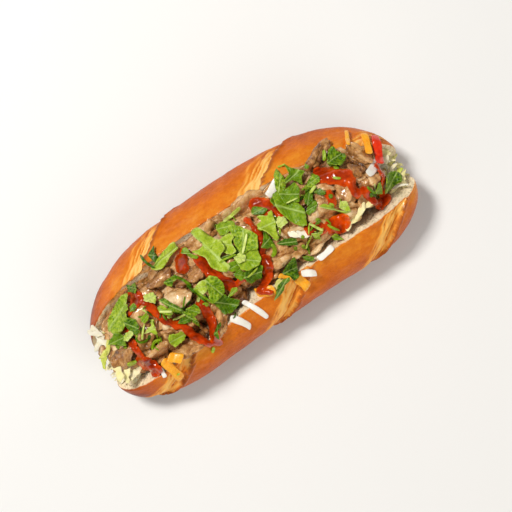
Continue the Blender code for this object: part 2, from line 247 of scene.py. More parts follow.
class Batch:
    """Many small closed shapes gathered into one mesh, with a UV map and a tone at each point."""

    def __init__(self):
        self.points, self.quads, self.uv, self.tone = [], [], [], []
        self.count = 0

    def add(self, points, quads, uv, tone):
        """Adds one shape. uv has a row for each point, and tone is one number or one for each point."""
        self.points.append(points)
        self.quads.append(quads + self.count)
        self.uv.append(uv)
        self.tone.append(np.broadcast_to(tone, len(points)))
        self.count += len(points)

    def add_sheet(self, middle, depth, uv, tone):
        """Thickens a middle grid, adds it and gives its points. Both sides share the UV and tone."""
        points, quads = thicken(middle, depth)
        tone = np.broadcast_to(tone, middle.shape[:2]).ravel()
        self.add(points, quads, np.tile(uv.reshape(-1, 2), (2, 1)), np.tile(tone, 2))
        return points

    def build(self, name, material):
        """One smooth object made of all the shapes. Their places are in its mesh, at no offset."""
        mesh = bpy.data.meshes.new(name)
        mesh.from_pydata(np.concatenate(self.points).tolist(), [], np.concatenate(self.quads).tolist())
        layer = mesh.uv_layers.new(name="UVMap")
        corners = read(mesh.loops, "vertex_index", np.int32, 1).ravel()
        layer.data.foreach_set("uv", np.concatenate(self.uv)[corners].astype(np.float32).ravel())
        set_values(mesh, "tone", np.concatenate(self.tone))
        mesh.materials.append(material)
        mesh.shade_smooth()
        return place_in_scene(name, mesh)


def read(items, name, kind=float, width=3):
    """One property of each of Blender's items, as an array with a row for each item."""
    values = np.empty(len(items) * width, kind)
    items.foreach_get(name, values)
    return values.reshape(-1, width)


def set_values(mesh, name, values):
    """Stores one number for each vertex under a name that a material can read."""
    attribute = mesh.attributes.new(name, "FLOAT", "POINT")
    attribute.data.foreach_set("value", np.asarray(values, np.float32).ravel())


def finish_piece(obj, slot, *nodes):
    """Hangs a piece on the sandwich's body and hides the solids it stands for. Its slot, the finish's name,
    is not used.
    """
    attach(obj, "root")
    if nodes:
        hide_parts(*nodes)
    print(obj.name, "quads:", len(obj.data.polygons))
    return obj


# %% [markdown]
# What lies on top has to follow what lies under it. A map holds the greatest height so far at each
# point of a fine grid seen from above. Each new shape reads the map where it lies, then raises it.

# %% The map of heights
PITCH = 0.5 * MM
VIEW_X = np.arange(-124 * MM, 124 * MM, PITCH)
VIEW_Y = np.arange(-60 * MM, 60 * MM, PITCH)


def corners_of(obj):
    """The three corners of each triangle of an object's mesh, as an array (triangles x 3 x 3)."""
    mesh = obj.data
    mesh.calc_loop_triangles()
    return read(mesh.vertices, "co")[read(mesh.loop_triangles, "vertices", np.int32)]


def stamp(heights, points):
    """Raises the grid under an array of points, so that the next shape lies over them."""
    i = np.clip(np.round((points[:, 0] - VIEW_X[0]) / PITCH).astype(int), 0, len(VIEW_X) - 1)
    j = np.clip(np.round((points[:, 1] - VIEW_Y[0]) / PITCH).astype(int), 0, len(VIEW_Y) - 1)
    np.maximum.at(heights, (i, j), points[:, 2])


def stamp_object(heights, obj):
    """Raises the grid under a whole mesh: every triangle is spread out into an even set of points."""
    corners = corners_of(obj)
    longest = np.linalg.norm(corners - np.roll(corners, 1, axis=1), axis=2).max()
    steps = math.ceil(longest / PITCH) + 1
    share = [(a / steps, b / steps) for a in range(steps + 1) for b in range(steps + 1 - a)]
    weights = np.array([(a, b, 1 - a - b) for a, b in share])
    stamp(heights, (weights @ corners).reshape(-1, 3))


def swell(heights, cells):
    """Each height becomes the greatest within so many cells of it."""
    out = heights.copy()
    for i in range(-cells, cells + 1):
        for j in range(-cells, cells + 1):
            out = np.maximum(out, np.roll(heights, (i, j), axis=(0, 1)))
    return out


def soften(heights, passes):
    """Averages each height with its four neighbours, several times over."""
    for _ in range(passes):
        near = [np.roll(heights, s, axis=a) for a in (0, 1) for s in (-1, 1)]
        heights = (2 * heights + sum(near)) / 6
    return heights


def ground_map(cells, passes):
    """The map of heights as it stands, swollen by so many cells and softened by so many passes."""
    return soften(swell(HEIGHTS, cells), passes)


def sample(heights, x, y):
    """Height at any places, mixed from the four nearest points of the map."""
    i = np.clip((x - VIEW_X[0]) / PITCH, 0, len(VIEW_X) - 1.001)
    j = np.clip((y - VIEW_Y[0]) / PITCH, 0, len(VIEW_Y) - 1.001)
    a, b = i.astype(int), j.astype(int)
    s, t = i - a, j - b
    low = heights[a, b] * (1 - t) + heights[a, b + 1] * t
    high = heights[a + 1, b] * (1 - t) + heights[a + 1, b + 1] * t
    return low * (1 - s) + high * s


# %% [markdown]
# ## Tools for finishes
# A finish is a tree of nodes. Writing each link out by hand hides the recipe, so a small class
# gives the usual nodes short calls. The outputs of nodes can also be added, subtracted and
# multiplied with plain signs, and each sign adds one node. The recipe then reads like a formula.

# %% A class that wires up a finish


class Output:
    """One output of a node. Outputs that carry numbers can be added, subtracted and multiplied."""

    def __init__(self, make, socket):
        self.make, self.socket = make, socket

    def __add__(self, other):
        """The sum, from one more node."""
        return self.make.math("ADD", self, other)

    def __sub__(self, other):
        """This number less the other."""
        return self.make.math("SUBTRACT", self, other)

    def __rsub__(self, other):
        """The other number less this one."""
        return self.make.math("SUBTRACT", other, self)

    def __mul__(self, other):
        """The product of both."""
        return self.make.math("MULTIPLY", self, other)


class Finish:
    """A material's node tree, with short calls that add nodes and join them."""

    def __init__(self, name=None, tree=None):
        if tree is None:
            self.material = bpy.data.materials.new(name)
            self.material.use_nodes = True
            tree = self.material.node_tree
            self.shader = tree.nodes["Principled BSDF"]
        self.tree = tree

    def fill(self, socket, value):
        """Joins another node's output to an input, or gives the input a plain value."""
        if isinstance(value, Output):
            self.tree.links.new(value.socket, socket)
        else:
            socket.default_value = (*value, 1.0) if socket.type == "RGBA" else value

    def node(self, kind, **inputs):
        """Adds a node and fills its inputs."""
        node = self.tree.nodes.new(kind)
        for name, value in inputs.items():
            self.fill(node.inputs[name.replace("_", " ")], value)
        return node

    def out(self, name, kind, **inputs):
        """Adds a node, fills its inputs and gives its output of this name."""
        return Output(self, self.node(kind, **inputs).outputs[name])

    def place(self, scale=(1, 1, 1)):
        """Object coordinates in mm, stretched by a scale along each axis."""
        spot = self.out("Object", "ShaderNodeTexCoord")
        return self.stretch(spot, [s / MM for s in scale])

    def stretch(self, vector, scale):
        """A vector multiplied by a scale along each axis."""
        return self.out("Vector", "ShaderNodeMapping", Vector=vector, Scale=scale)

    def axis(self, letter):
        """One of the object coordinates, in metres."""
        spot = self.out("Object", "ShaderNodeTexCoord")
        return self.out(letter, "ShaderNodeSeparateXYZ", Vector=spot)

    def uv(self):
        """The place on the piece's UV map."""
        return self.out("UV", "ShaderNodeUVMap")

    def split(self, vector):
        """The first two numbers of a vector."""
        parts = self.node("ShaderNodeSeparateXYZ", Vector=vector).outputs
        return Output(self, parts["X"]), Output(self, parts["Y"])

    def kept(self, name):
        """A number kept on the mesh's points under this name."""
        node = self.node("ShaderNodeAttribute")
        node.attribute_name = name
        return Output(self, node.outputs["Fac"])

    def noise(self, vector, scale, detail=3.0, roughness=0.55):
        """Cloudy noise from 0 to 1."""
        inputs = {"Vector": vector, "Scale": scale, "Detail": detail, "Roughness": roughness}
        return self.out("Fac", "ShaderNodeTexNoise", **inputs)

    def cells(self, vector, scale):
        """Distance to the nearest of many scattered points."""
        return self.out("Distance", "ShaderNodeTexVoronoi", Vector=vector, Scale=scale)

    def mottle(self, vector, scale, contrast):
        """Soft patches from 0 to 1, from the shared group."""
        return self.group(MOTTLE, "Mask", Vector=vector, Scale=scale, Contrast=contrast)

    def grit(self, vector, scale):
        """The height of small bumps, from the shared group."""
        return self.group(GRIT, "Height", Vector=vector, Scale=scale)

    def math(self, operation, a, b=0.0):
        """Two numbers put together by the named operation."""
        node = self.node("ShaderNodeMath")
        node.operation = operation
        self.fill(node.inputs[0], a)
        self.fill(node.inputs[1], b)
        return Output(self, node.outputs["Value"])

    def clamp(self, number):
        """The result of a sum, kept from 0 to 1 by its own node."""
        number.socket.node.use_clamp = True
        return number

    def ramp(self, factor, *stops):
        """A colour that changes along its stops (position, colour) as the factor rises."""
        node = self.node("ShaderNodeValToRGB", Fac=factor)
        elements = node.color_ramp.elements
        while len(elements) < len(stops):
            elements.new(0.5)
        for element, (position, colour) in zip(elements, stops):
            element.position, element.color = position, (*colour, 1.0)
        return Output(self, node.outputs["Color"])

    def rise(self, factor, low, high):
        """0 below low, 1 above high, straight between them."""
        return self.out("Result", "ShaderNodeMapRange", Value=factor, From_Min=low, From_Max=high)

    def mix(self, factor, a, b):
        """Colour a, with colour b laid over it by the factor."""
        node = self.node("ShaderNodeMix")
        node.data_type = "RGBA"
        for place, value in (("Factor", factor), (6, a), (7, b)):  # 6 and 7 are the two colours
            self.fill(node.inputs[place], value)
        return Output(self, node.outputs[2])

    def group(self, tree, name, **inputs):
        """Places a shared group, fills its inputs and gives its output of this name."""
        node = self.node("ShaderNodeGroup")
        node.node_tree = tree
        for label, value in inputs.items():
            self.fill(node.inputs[label], value)
        return Output(self, node.outputs[name])

    def bump(self, height, distance):
        """Normals tilted by a height, given how tall its whole range is in metres."""
        return self.out("Normal", "ShaderNodeBump", Height=height, Distance=distance)

    def finish(self, colour, roughness, normal, **others):
        """Fills the Principled shader's own sockets and gives the material."""
        wanted = {"Base_Color": colour, "Roughness": roughness, "Normal": normal, **others}
        for name, value in wanted.items():
            self.fill(self.shader.inputs[name.replace("_", " ")], value)
        print("finish:", self.material.name, "with", len(self.tree.nodes), "nodes")
        return self.material


# %% [markdown]
# Mottling and fine bumps turn up in every food here. Those two are node groups, made once and
# placed in each material with its own sizes.

# %% Shared groups


def new_group(name, output, **inputs):
    """A node group with one output. Inputs with a value are numbers and the others are vectors.

    It gives the wiring class for the group, and the group's inputs as outputs to build on.
    """
    tree = bpy.data.node_groups.new(name, "ShaderNodeTree")
    for label, value in inputs.items():
        kind = "NodeSocketVector" if value is None else "NodeSocketFloat"
        socket = tree.interface.new_socket(name=label, in_out="INPUT", socket_type=kind)
        if value is not None:
            socket.default_value = value
    tree.interface.new_socket(name=output, in_out="OUTPUT", socket_type="NodeSocketFloat")
    make = Finish(tree=tree)
    given = make.node("NodeGroupInput").outputs
    return make, [Output(make, given[label]) for label in inputs]


def close_group(make, result):
    """Joins the result to the group's output and gives the finished group."""
    make.fill(make.node("NodeGroupOutput").inputs[0], result)
    return make.tree


def make_mottle():
    """Soft patches: large and small cloudy noise, mixed, with the contrast raised round one half."""
    make, (vector, scale, contrast) = new_group("mottle", "Mask", Vector=None, Scale=0.2, Contrast=2.0)
    wide = make.noise(vector, scale, detail=2.0)
    fine = make.noise(vector, scale * 4.3, detail=4.0)
    both = wide * 0.65 + fine * 0.35
    return close_group(make, make.clamp((both - 0.5) * contrast + 0.5))


def make_grit():
    """Small bumps: two sizes of noise added up into one height."""
    make, (vector, scale) = new_group("grit", "Height", Vector=None, Scale=1.0)
    wide = make.noise(vector, scale, detail=3.0)
    fine = make.noise(vector, scale * 3.7, detail=2.0)
    return close_group(make, wide * 0.7 + fine * 0.3)


MOTTLE, GRIT = make_mottle(), make_grit()

# %% [markdown]
# ## The roll
# The baker slashes the dough at a slant. In the oven each slash opens into a pale, stringy band,
# and the crust on its far side lifts into a thin dark lip, the ear. The roll is then split along
# the top and pulled open like a book. Each point here starts on the closed roll, whose section is
# an ellipse, and is turned outwards about the hinge of uncut bread. That keeps the scores running
# over the crust as they would on a real one.

# %% Measures of the roll
roll_low, roll_high = [np.array(corner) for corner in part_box("bread_roll")]
HALF_LENGTH = (roll_high[0] - roll_low[0]) / 2
HALF_WIDTH, HALF_HEIGHT = 47 * MM, 28.5 * MM
HINGE_HEIGHT = 8 * MM
SETTLE = 1.2 * MM  # how much the underside flattens where it stands
LEAN_LEFT, LEAN_RIGHT = math.radians(45), math.radians(34)
BOW, BOW_CENTRE = 10.5 * MM, 25 * MM
SCORE_PLACES = (-73 * MM, 20 * MM, 98 * MM)
SCORE_SLANT, SCORE_HALF_WIDTH = 26 * MM, 11 * MM
SCORE_DEPTH, EAR_HEIGHT = 2.2 * MM, 1.1 * MM
STRAND_HEIGHT, SCORE_WOBBLE = 0.55 * MM, 1.6 * MM
SWELLS, DIMPLES = 0.55 * MM, 0.10 * MM  # heights of the crust's wide and fine unevenness
RIM_FADE = 2.5 * MM  # the torn rim's waves die away over this distance
CALM_TIP = 0.4  # the surface grows smooth where the section is below this share of the full one
CRUMB_FULL = 4 * MM  # the crumb mask reaches 1 at about this distance below the rim
HELD_BASE, HELD_RIM = 4 * MM, 1.5 * MM  # nearer than this to hinge or rim the cut face is smoother
SCORE_END = 1.9  # radians round the crust at which the scores have died away
WELD_DISTANCE = 0.004 * MM
print("half length of the roll in mm:", round(HALF_LENGTH / MM, 1))

# %% [markdown]
# Each line of the roll's form is a function of x, the place along it. A score is worked out in its
# own slanting coordinate: the floor of the band sinks to a torn groove, strands of dough cross it,
# and the ear is a narrow bell curve along its far edge.

# %% Form of the roll


def taper(x):
    """Share of the full section left at x: the square root of 1 - (x / half length)^4."""
    return np.sqrt(1.0 - np.clip(np.abs(x) / HALF_LENGTH, 0.0, 1.0) ** 4)


def lean(x):
    """How far the cut faces lean out at x: a straight line from the left end to the right."""
    return LEAN_LEFT + (LEAN_RIGHT - LEAN_LEFT) * (x / (2 * HALF_LENGTH) + 0.5)


def centre_line(x):
    """Sideways bow of the roll at x: a parabola."""
    return BOW_CENTRE * 0.12 - BOW * ((x - BOW_CENTRE) / HALF_LENGTH) ** 2


def open_out(x, across, up, side):
    """Polar turn about the hinge: the angle grows by the lean times (1 - angle / pi) squared."""
    rise = up - HINGE_HEIGHT
    radius = np.hypot(across, rise)
    turn = np.arctan2(across, rise)
    turn = turn + lean(x) * (1.0 - np.clip(turn, 0.0, math.pi) / math.pi) ** 2
    return side * radius * np.sin(turn), HINGE_HEIGHT + radius * np.cos(turn)


def score_bands(x, angle):
    """Relief, band mask and ear mask of the scores, for x and the signed angle round the crust."""
    relief, band, lip = np.zeros(x.shape), np.zeros(x.shape), np.zeros(x.shape)
    length = angle * HALF_WIDTH
    wobble = SCORE_WOBBLE * rough(together(0, length, 0), 9 * MM, 31, 3)
    jag = 0.5 + 0.5 * rough(together(x * 0.3, length, 0), 2.6 * MM, 47, 2)
    for place in SCORE_PLACES:
        across = (x - place - SCORE_SLANT * angle + wobble) / SCORE_HALF_WIDTH
        spot = together(across * SCORE_HALF_WIDTH, length * 0.14, 0)
        strands = rough(spot, 1.6 * MM, 61, 2) + 0.9 * rough(spot, 4.5 * MM, 63, 2)
        sink = np.clip((across + 1.0) / 1.6, 0.0, 1.0) * (across < 0.95)
        ear = np.exp(-(((across - 1.08) / 0.24) ** 2)) * (0.5 + jag)
        inside = np.clip((across + 1.3) / 0.9, 0, 1) * np.clip((1.0 - across) / 0.06, 0, 1)
        relief += EAR_HEIGHT * ear - SCORE_DEPTH * sink**1.5 + STRAND_HEIGHT * strands * inside
        band = np.maximum(band, inside * (0.70 + 0.45 * strands))
        lip = np.maximum(lip, ear)
    fade = np.clip(SCORE_END - np.abs(angle), 0.0, 1.0)
    return relief * fade, band * fade, lip * fade


# %% [markdown]
# The surface is one grid for each half. Its rows are stations along the roll. Each row runs from
# the rim over the crust to the base, and then up the cut face from the hinge to the rim again.

# %% The roll's surface
STATIONS_END, STATIONS_MIDDLE = 46, 210
CRUST_ROWS, CRUMB_ROWS = 108, 34


def roll_stations():
    """Places along X, closer near the tips, with one exactly where the base meets the hinge."""
    shared = (1 - (1 - HINGE_HEIGHT / HALF_HEIGHT) ** 2) ** 0.25
    s = math.asin(shared) / math.pi
    left = np.linspace(-0.5, -s, STATIONS_END)
    middle = np.linspace(-s, s, STATIONS_MIDDLE)[1:-1]
    return HALF_LENGTH * np.sin(math.pi * np.concatenate([left, middle, -left[::-1]]))


def roll_half(side):
    """One half as a grid, crust first and then cut face, and the masks that its finish reads."""
    x = roll_stations()[:, None]
    size = taper(x)
    low, high = HALF_HEIGHT * (1 - size), HALF_HEIGHT * (1 + size)
    angle = np.linspace(0.0, math.pi, CRUST_ROWS)[None, :] * np.ones_like(x)
    xs = x * np.ones_like(angle)
    relief, band, lip = score_bands(xs, side * angle)
    spot = together(xs, side * HALF_WIDTH * np.sin(angle), HALF_HEIGHT * np.cos(angle))
    uneven = SWELLS * rough(spot, 22 * MM, 5, 3) + DIMPLES * rough(spot, 2.5 * MM, 9, 2)
    near_tip = np.clip(size / CALM_TIP, 0, 1)
    calm = near_tip * np.clip((math.pi - angle) / 0.5, 0, 1)
    relief = (relief + uneven) * calm

    tear = (0.8 * rough(together(x, side, 0), 6 * MM, 71, 3)) * MM * near_tip
    arc = angle * HALF_WIDTH * size
    crust_across = (HALF_WIDTH * size + relief) * np.sin(angle)
    crust_up = HALF_HEIGHT + (HALF_HEIGHT * size + relief) * np.cos(angle) + tear * np.exp(-arc / RIM_FADE)

    climb = np.linspace(0.0, 1.0, CRUMB_ROWS)[None, :] ** 0.8
    start = np.maximum(low, HINGE_HEIGHT)
    face_up = start + (high - start) * climb
    below_rim = high - face_up
    face_spot = together(x, side, face_up)
    torn = 0.7 * rough(face_spot, 7 * MM, 81, 2) + 0.45 * rough(face_spot, 2.2 * MM, 83, 2)
    free = np.clip((face_up - start) / HELD_BASE, 0, 1) * np.clip(below_rim / HELD_RIM, 0, 1)
    face_across = torn * MM * free * near_tip
    face_up = face_up + (relief[:, :1] + tear) * np.exp(-below_rim / RIM_FADE)

    across = np.concatenate([crust_across, face_across], axis=1)
    up = np.concatenate([crust_up, face_up], axis=1)
    y, z = open_out(x, across, up, side)
    points = together(x, y + centre_line(x), np.maximum(z - SETTLE, 0.0))
    plain = np.zeros_like(face_up)
    masks = {
        "crumb": np.concatenate([np.zeros_like(arc), 0.05 + below_rim / CRUMB_FULL], axis=1),
        "score": np.concatenate([np.clip(band, 0, 1), plain], axis=1),
        "ear": np.concatenate([np.clip(lip, 0, 1), plain], axis=1),
        "turn": np.concatenate([angle / math.pi, plain], axis=1),
    }
    return points, masks


halves = [roll_half(1), roll_half(-1)]
spread = [half[0][..., 1] for half in halves]
roll_shift = (roll_low[1] + roll_high[1]) / 2 - (np.max(spread) + np.min(spread)) / 2
print("the roll moves sideways by", round(roll_shift / MM, 2), "mm")


def build_roll(material):
    """Both halves in one closed skin, welded along the hinge, the base line and the two tips."""
    rows, columns = halves[0][0].shape[:2]
    points = np.concatenate([half[0].reshape(-1, 3) for half in halves])
    quads = grid_quads(rows, columns).reshape(rows - 1, columns - 1, 4)
    kept = np.ones(quads.shape[:2], bool)
    middle = slice(STATIONS_END - 1, 1 - STATIONS_END)
    kept[middle, CRUST_ROWS - 1] = False  # no wall inside, under the hinge
    quads = quads[kept]
    quads = np.concatenate([quads, quads[:, ::-1] + rows * columns])
    points[:, 1] += roll_shift
    mesh = bpy.data.meshes.new("roll")
    mesh.from_pydata(points.tolist(), [], quads.tolist())
    for name in halves[0][1]:
        set_values(mesh, name, np.concatenate([half[1][name].ravel() for half in halves]))
    weld(mesh)
    mesh.materials.append(material)
    mesh.shade_smooth()
    return place_in_scene("roll", mesh)


def weld(mesh):
    """Merges doubled points, drops faces that shrank to nothing and turns the rest outwards."""
    work = bmesh.new()
    work.from_mesh(mesh)
    bmesh.ops.remove_doubles(work, verts=work.verts, dist=WELD_DISTANCE)
    bmesh.ops.recalc_face_normals(work, faces=work.faces)
    open_edges = sum(1 for edge in work.edges if not edge.is_manifold)
    work.to_mesh(mesh)
    work.free()
    print("welded:", mesh.name, "open edges:", open_edges)


# %% [markdown]
# ## The crust's finish
# A glazed crust is golden on top and darker and browner where it turns under, partly from
# browning and partly as painted shade, since that side faces away from the light. It is palest
# where a score has torn, with a darker, more orange copy of the torn colours on the front half
# as painted shade, and dark brown along a lip. The cut face is cream crumb, full of pores that
# are painted darker as shade in the holes, with a toasted line at the rim. The mesh carries
# where each of these is, and the nodes mix them with cloudy noise.

# %% Crust and crumb


def make_crust():
    """Golden crust, stringy scores, dark lips and porous crumb in one material.

    Part of the rear cut face, at the left, is coloured like a torn score instead of like crumb.
    """
    make = Finish("crust")
    spot = make.place()
    patches = make.mottle(spot, 0.045, 2.2)
    specks = make.mottle(make.place((0.7, 1.0, 1.0)), 0.42, 2.6)
    # The crust darkens as it turns under from the rim: partly browning, partly painted shade where it faces
    # away from the light.
    turned = make.rise(make.kept("turn"), 0.10, 0.50)
    left_end = make.rise(make.axis("X") * -1.0, 0.085, 0.118)
    bake_and_shade = turned * 0.56 + patches * 0.34
    bake_and_shade = bake_and_shade + (specks - 0.2) * 0.20
    bake_and_shade = make.clamp(bake_and_shade + left_end * 0.58)
    crust = make.ramp(
        bake_and_shade,
        (0.05, (0.86, 0.32, 0.024)),
        (0.28, (0.74, 0.180, 0.007)),
        (0.52, (0.58, 0.112, 0.005)),
        (0.76, (0.38, 0.064, 0.006)),
        (0.98, (0.17, 0.024, 0.005)),
    )
    dots = make.cells(spot, 0.42)
    dark_dots = make.rise(dots, 0.30, 0.10) * make.rise(patches, 0.45, 0.9)
    crust = make.mix(dark_dots * 0.45, crust, (0.30, 0.045, 0.004))
    score = make.kept("score")
    torn = make.ramp(
        score,
        (0.30, (0.86, 0.27, 0.025)),
        (0.62, (0.95, 0.43, 0.070)),
        (0.98, (1.0, 0.64, 0.20)),
    )
    # Painted shade: on the front half, which faces away from the window, the torn colours give way to a
    # darker, more orange copy.
    front = make.rise(make.axis("Y"), 0.0, -0.02) * 0.90
    shaded_front_torn = make.ramp(
        score,
        (0.35, (0.62, 0.15, 0.010)),
        (0.60, (0.98, 0.35, 0.035)),
        (0.95, (1.0, 0.52, 0.11)),
    )
    torn = make.mix(front, torn, shaded_front_torn)
    crust = make.mix(make.rise(score, 0.15, 0.5), crust, torn)
    crust = make.mix(make.rise(make.kept("ear"), 0.35, 1.1), crust, (0.36, 0.085, 0.016))
    pores = make.cells(spot, 0.75)
    # Painted shade: the crumb is darker inside its pores, as in shaded holes; the bump below sinks them too.
    shaded_pores = make.rise(pores, 0.42, 0.12) * make.noise(spot, 0.3)
    crumb = make.mix(shaded_pores, (0.98, 0.82, 0.56), (0.80, 0.53, 0.26))
    crumb = make.mix(make.rise(make.noise(spot, 0.12), 0.45, 0.8), crumb, (0.90, 0.68, 0.41))
    edge = make.kept("crumb") + make.noise(spot, 0.9) * 0.3
    inside = make.rise(edge, 0.30, 0.55)
    torn_wall = make.rise(make.axis("Y"), 0.005, 0.015) * make.rise(make.axis("X"), -0.040, -0.058)
    streaks = make.noise(make.place((0.4, 1.0, 1.0)), 0.25)
    torn_wall = torn_wall * make.rise(streaks, 0.35, 0.6)
    crumb = make.mix(torn_wall * 0.85, crumb, (1.0, 0.44, 0.07))
    colour = make.mix(inside, crust, crumb)
    grit = make.grit(spot, 0.45)
    wrinkles = make.grit(make.place((0.35, 1.0, 1.0)), 0.9)
    grit = grit + wrinkles * 0.7
    height = grit - shaded_pores * inside * 2.5
    gloss = inside * 0.45 + grit * 0.20
    gloss = gloss + score * 0.10
    glaze = (1.0 - inside) * make.rise(make.kept("turn"), 0.42, 0.20)
    glaze = glaze * 0.30
    return make.finish(
        colour,
        make.clamp(gloss + 0.20),
        make.bump(height, 0.50 * MM),
        Specular_IOR_Level=0.12,
        Coat_Weight=glaze,
        Coat_Roughness=0.14,
    )


crust_finish = make_crust()
roll = finish_piece(build_roll(crust_finish), "crust", "bread_roll")

# %% [markdown]
# ## What lies in the split
# Lettuce fills the bottom of the split and sliced meat is heaped on it. To fill both right through
# with separate pieces would be wasteful, as the inside is hidden. So each heap gets a smaller core,
# made from its own solid, and the separate pieces lie over it and stick out at the ends.

# %% Cores and the first map of heights


CORE_WELD = 0.01 * MM
CORE_TONE = 0.1  # dark, as little light gets between the pieces


def make_core(node, name, inset, roughness, material):
    """A smaller copy of a heap's solid: its points move in along their normals by an uneven inset."""
    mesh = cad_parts[node].data.copy()
    mesh.name = name
    mesh.materials.clear()
    mesh.materials.append(material)
    work = bmesh.new()
    work.from_mesh(mesh)
    bmesh.ops.remove_doubles(work, verts=work.verts, dist=CORE_WELD)
    bmesh.ops.subdivide_edges(work, edges=work.edges, cuts=2, use_grid_fill=True)
    bmesh.ops.recalc_face_normals(work, faces=work.faces)
    work.to_mesh(mesh)
    work.free()
    places = read(mesh.vertices, "co")
    bumps = roughness * rough(places, 7 * MM, 17, 2)
    places += read(mesh.vertex_normals, "vector") * (bumps - inset)[:, None]
    mesh.vertices.foreach_set("co", places.ravel())
    mesh.update()
    mesh.shade_smooth()
    set_values(mesh, "tone", np.full(len(places), CORE_TONE))
    return place_in_scene(name, mesh)


# %% [markdown]
# A slice's colour follows its tone, a number kept at each of its points. Fibres run along it, so
# the noise that draws them is stretched along the UV map's first direction.

# %% Meat finish


def make_meat():
    """Braised meat: dark brown to tan by its tone, streaked along its fibres, wet with juices."""
    make = Finish("meat")
    spot = make.place()
    uv = make.uv()
    tone = make.kept("tone")
    fibres = make.noise(make.stretch(uv, (0.22, 1.6, 1.0)), 1.0, detail=3.0, roughness=0.6)
    patches = make.mottle(spot, 0.16, 2.6)
    shade = tone * 0.70 + patches * 0.40
    shade = make.clamp(shade + (fibres - 0.5) * 0.55)
    colour = make.ramp(
        shade,
        (0.02, (0.025, 0.007, 0.002)),
        (0.20, (0.130, 0.040, 0.009)),
        (0.45, (0.430, 0.180, 0.046)),
        (0.68, (0.740, 0.400, 0.145)),
        (0.95, (0.970, 0.710, 0.400)),
    )
    grit = make.grit(spot, 0.9)
    height = fibres * 1.2 + grit
    wet = make.noise(spot, 0.35) * 0.45 + 0.02
    normal = make.bump(height, 0.45 * MM)
    return make.finish(colour, wet, normal, Coat_Weight=0.65, Coat_Roughness=0.06)


meat_finish = make_meat()
core = make_core("meat_heap", "meat_core", inset=9.0 * MM, roughness=1.2 * MM, material=meat_finish)
finish_piece(core, "meat", "meat_heap")
HEIGHTS = np.zeros((len(VIEW_X), len(VIEW_Y)))
for piece in (roll, core):
    stamp_object(HEIGHTS, piece)
HEAP_TOP = np.zeros_like(HEIGHTS)
stamp_object(HEAP_TOP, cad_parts["meat_heap"])
print("highest point so far in mm:", round(HEIGHTS.max() / MM, 1))

# %% [markdown]
# ## Shredded lettuce and cabbage
# Shreds stick out of both ends of the split and peep from under the meat. A shred is a narrow
# ribbon: its middle follows a gentle curve, and its two edges are longer than its middle, so they
# ruffle. The ruffle here is a wave along the ribbon that grows with the distance from its middle.

# %% Lettuce finish


def make_lettuce():
    """Pale, watery leaf: cream at the rib, yellow-green at the edge, with fine veins."""
    make = Finish("lettuce")
    spot = make.place()
    tone = make.kept("tone")
    patches = make.mottle(spot, 0.25, 2.0)
    shade = make.clamp(tone + (patches - 0.5) * 0.35)
    colour = make.ramp(
        shade,
        (0.05, (0.98, 0.92, 0.74)),
        (0.40, (0.96, 0.86, 0.42)),
        (0.75, (0.76, 0.78, 0.14)),
        (1.00, (0.42, 0.58, 0.05)),
    )
    veins = make.noise(make.stretch(make.uv(), (0.25, 2.2, 1.0)), 1.0)
    grit = make.grit(spot, 0.7)
    height = veins + grit * 0.6
    gloss = grit * 0.3 + 0.15
    return make.finish(colour, gloss, make.bump(height, 0.3 * MM), Specular_IOR_Level=0.3)


lettuce_finish = make_lettuce()

# %% [markdown]
# The shreds at the ends are scattered by seeded chance between the leaning walls. Those that show
# from above have a row each in a table, and lie on the map of heights.

# %% Shreds


def turned(a, b, heading, x=0.0, y=0.0):
    """Plan coordinates a and b turned by a heading, then moved by x and y."""
    px = a * math.cos(heading) - b * math.sin(heading)
    py = a * math.sin(heading) + b * math.cos(heading)
    return px + x, py + y


SHRED_DEPTH, SHRED_LIFT, LOWEST_SHRED = 0.7 * MM, 1.0 * MM, 1.5 * MM


def shred(random, length, width, bend, ruffle, shape=(26, 7)):
    """Middle grid of one ribbon about the origin: a curved line in plan, with wavy edges."""
    s, t = lattice(shape)
    phase = random.uniform(0, 2 * math.pi, 4)
    direction = bend * np.sin(1.6 * s + phase[0])
    step = length / 2 * np.diff(s, axis=0, prepend=s[:1])
    along = np.cumsum(step * np.cos(direction), axis=0)
    side = np.cumsum(step * np.sin(direction), axis=0)
    uneven = 1 + 0.20 * np.sin(5.1 * s + phase[1]) + 0.10 * np.sign(t) * np.sin(9 * s + phase[2])
    half = width / 2 * (1 - 0.85 * np.abs(s) ** 3) * uneven
    along, side = along - half * t * np.sin(direction), side + half * t * np.cos(direction)
    up = ruffle * t**2 * np.sin(6 * s + phase[2] + 1.5 * t) + 0.25 * length * random.uniform(-0.3, 0.3) * s**2
    uv = together(s * length / MM, t * width / MM) + random.uniform(0, 90, 2)
    grid = together(along - along.mean(), side - side.mean(), up)
    return grid, uv


def add_shred(batch, random, place, heading, pitch, size, tone):
    """Turns one shred by its pitch and heading, moves it into place and adds it to a batch."""
    length, width = size
    bend, ruffle = random.uniform(0.2, 0.7), random.uniform(0.1, 0.45) * MM
    grid, uv = shred(random, length, width, bend, ruffle)
    along = grid[..., 0] * math.cos(pitch) - grid[..., 2] * math.sin(pitch)
    up = grid[..., 0] * math.sin(pitch) + grid[..., 2] * math.cos(pitch)
    px, py = turned(along, grid[..., 1], heading, place[0], place[1])
    px = np.clip(px, -HALF_LENGTH, HALF_LENGTH)
    middle = together(px, py, np.maximum(up + place[2], LOWEST_SHRED))
    return batch.add_sheet(middle, SHRED_DEPTH, uv, tone)


ENDS = ((-1, 90), (1, 60))  # side of the middle and number of shreds
WALL_SHARE = 0.85  # shreds keep to this share of the gap between the walls


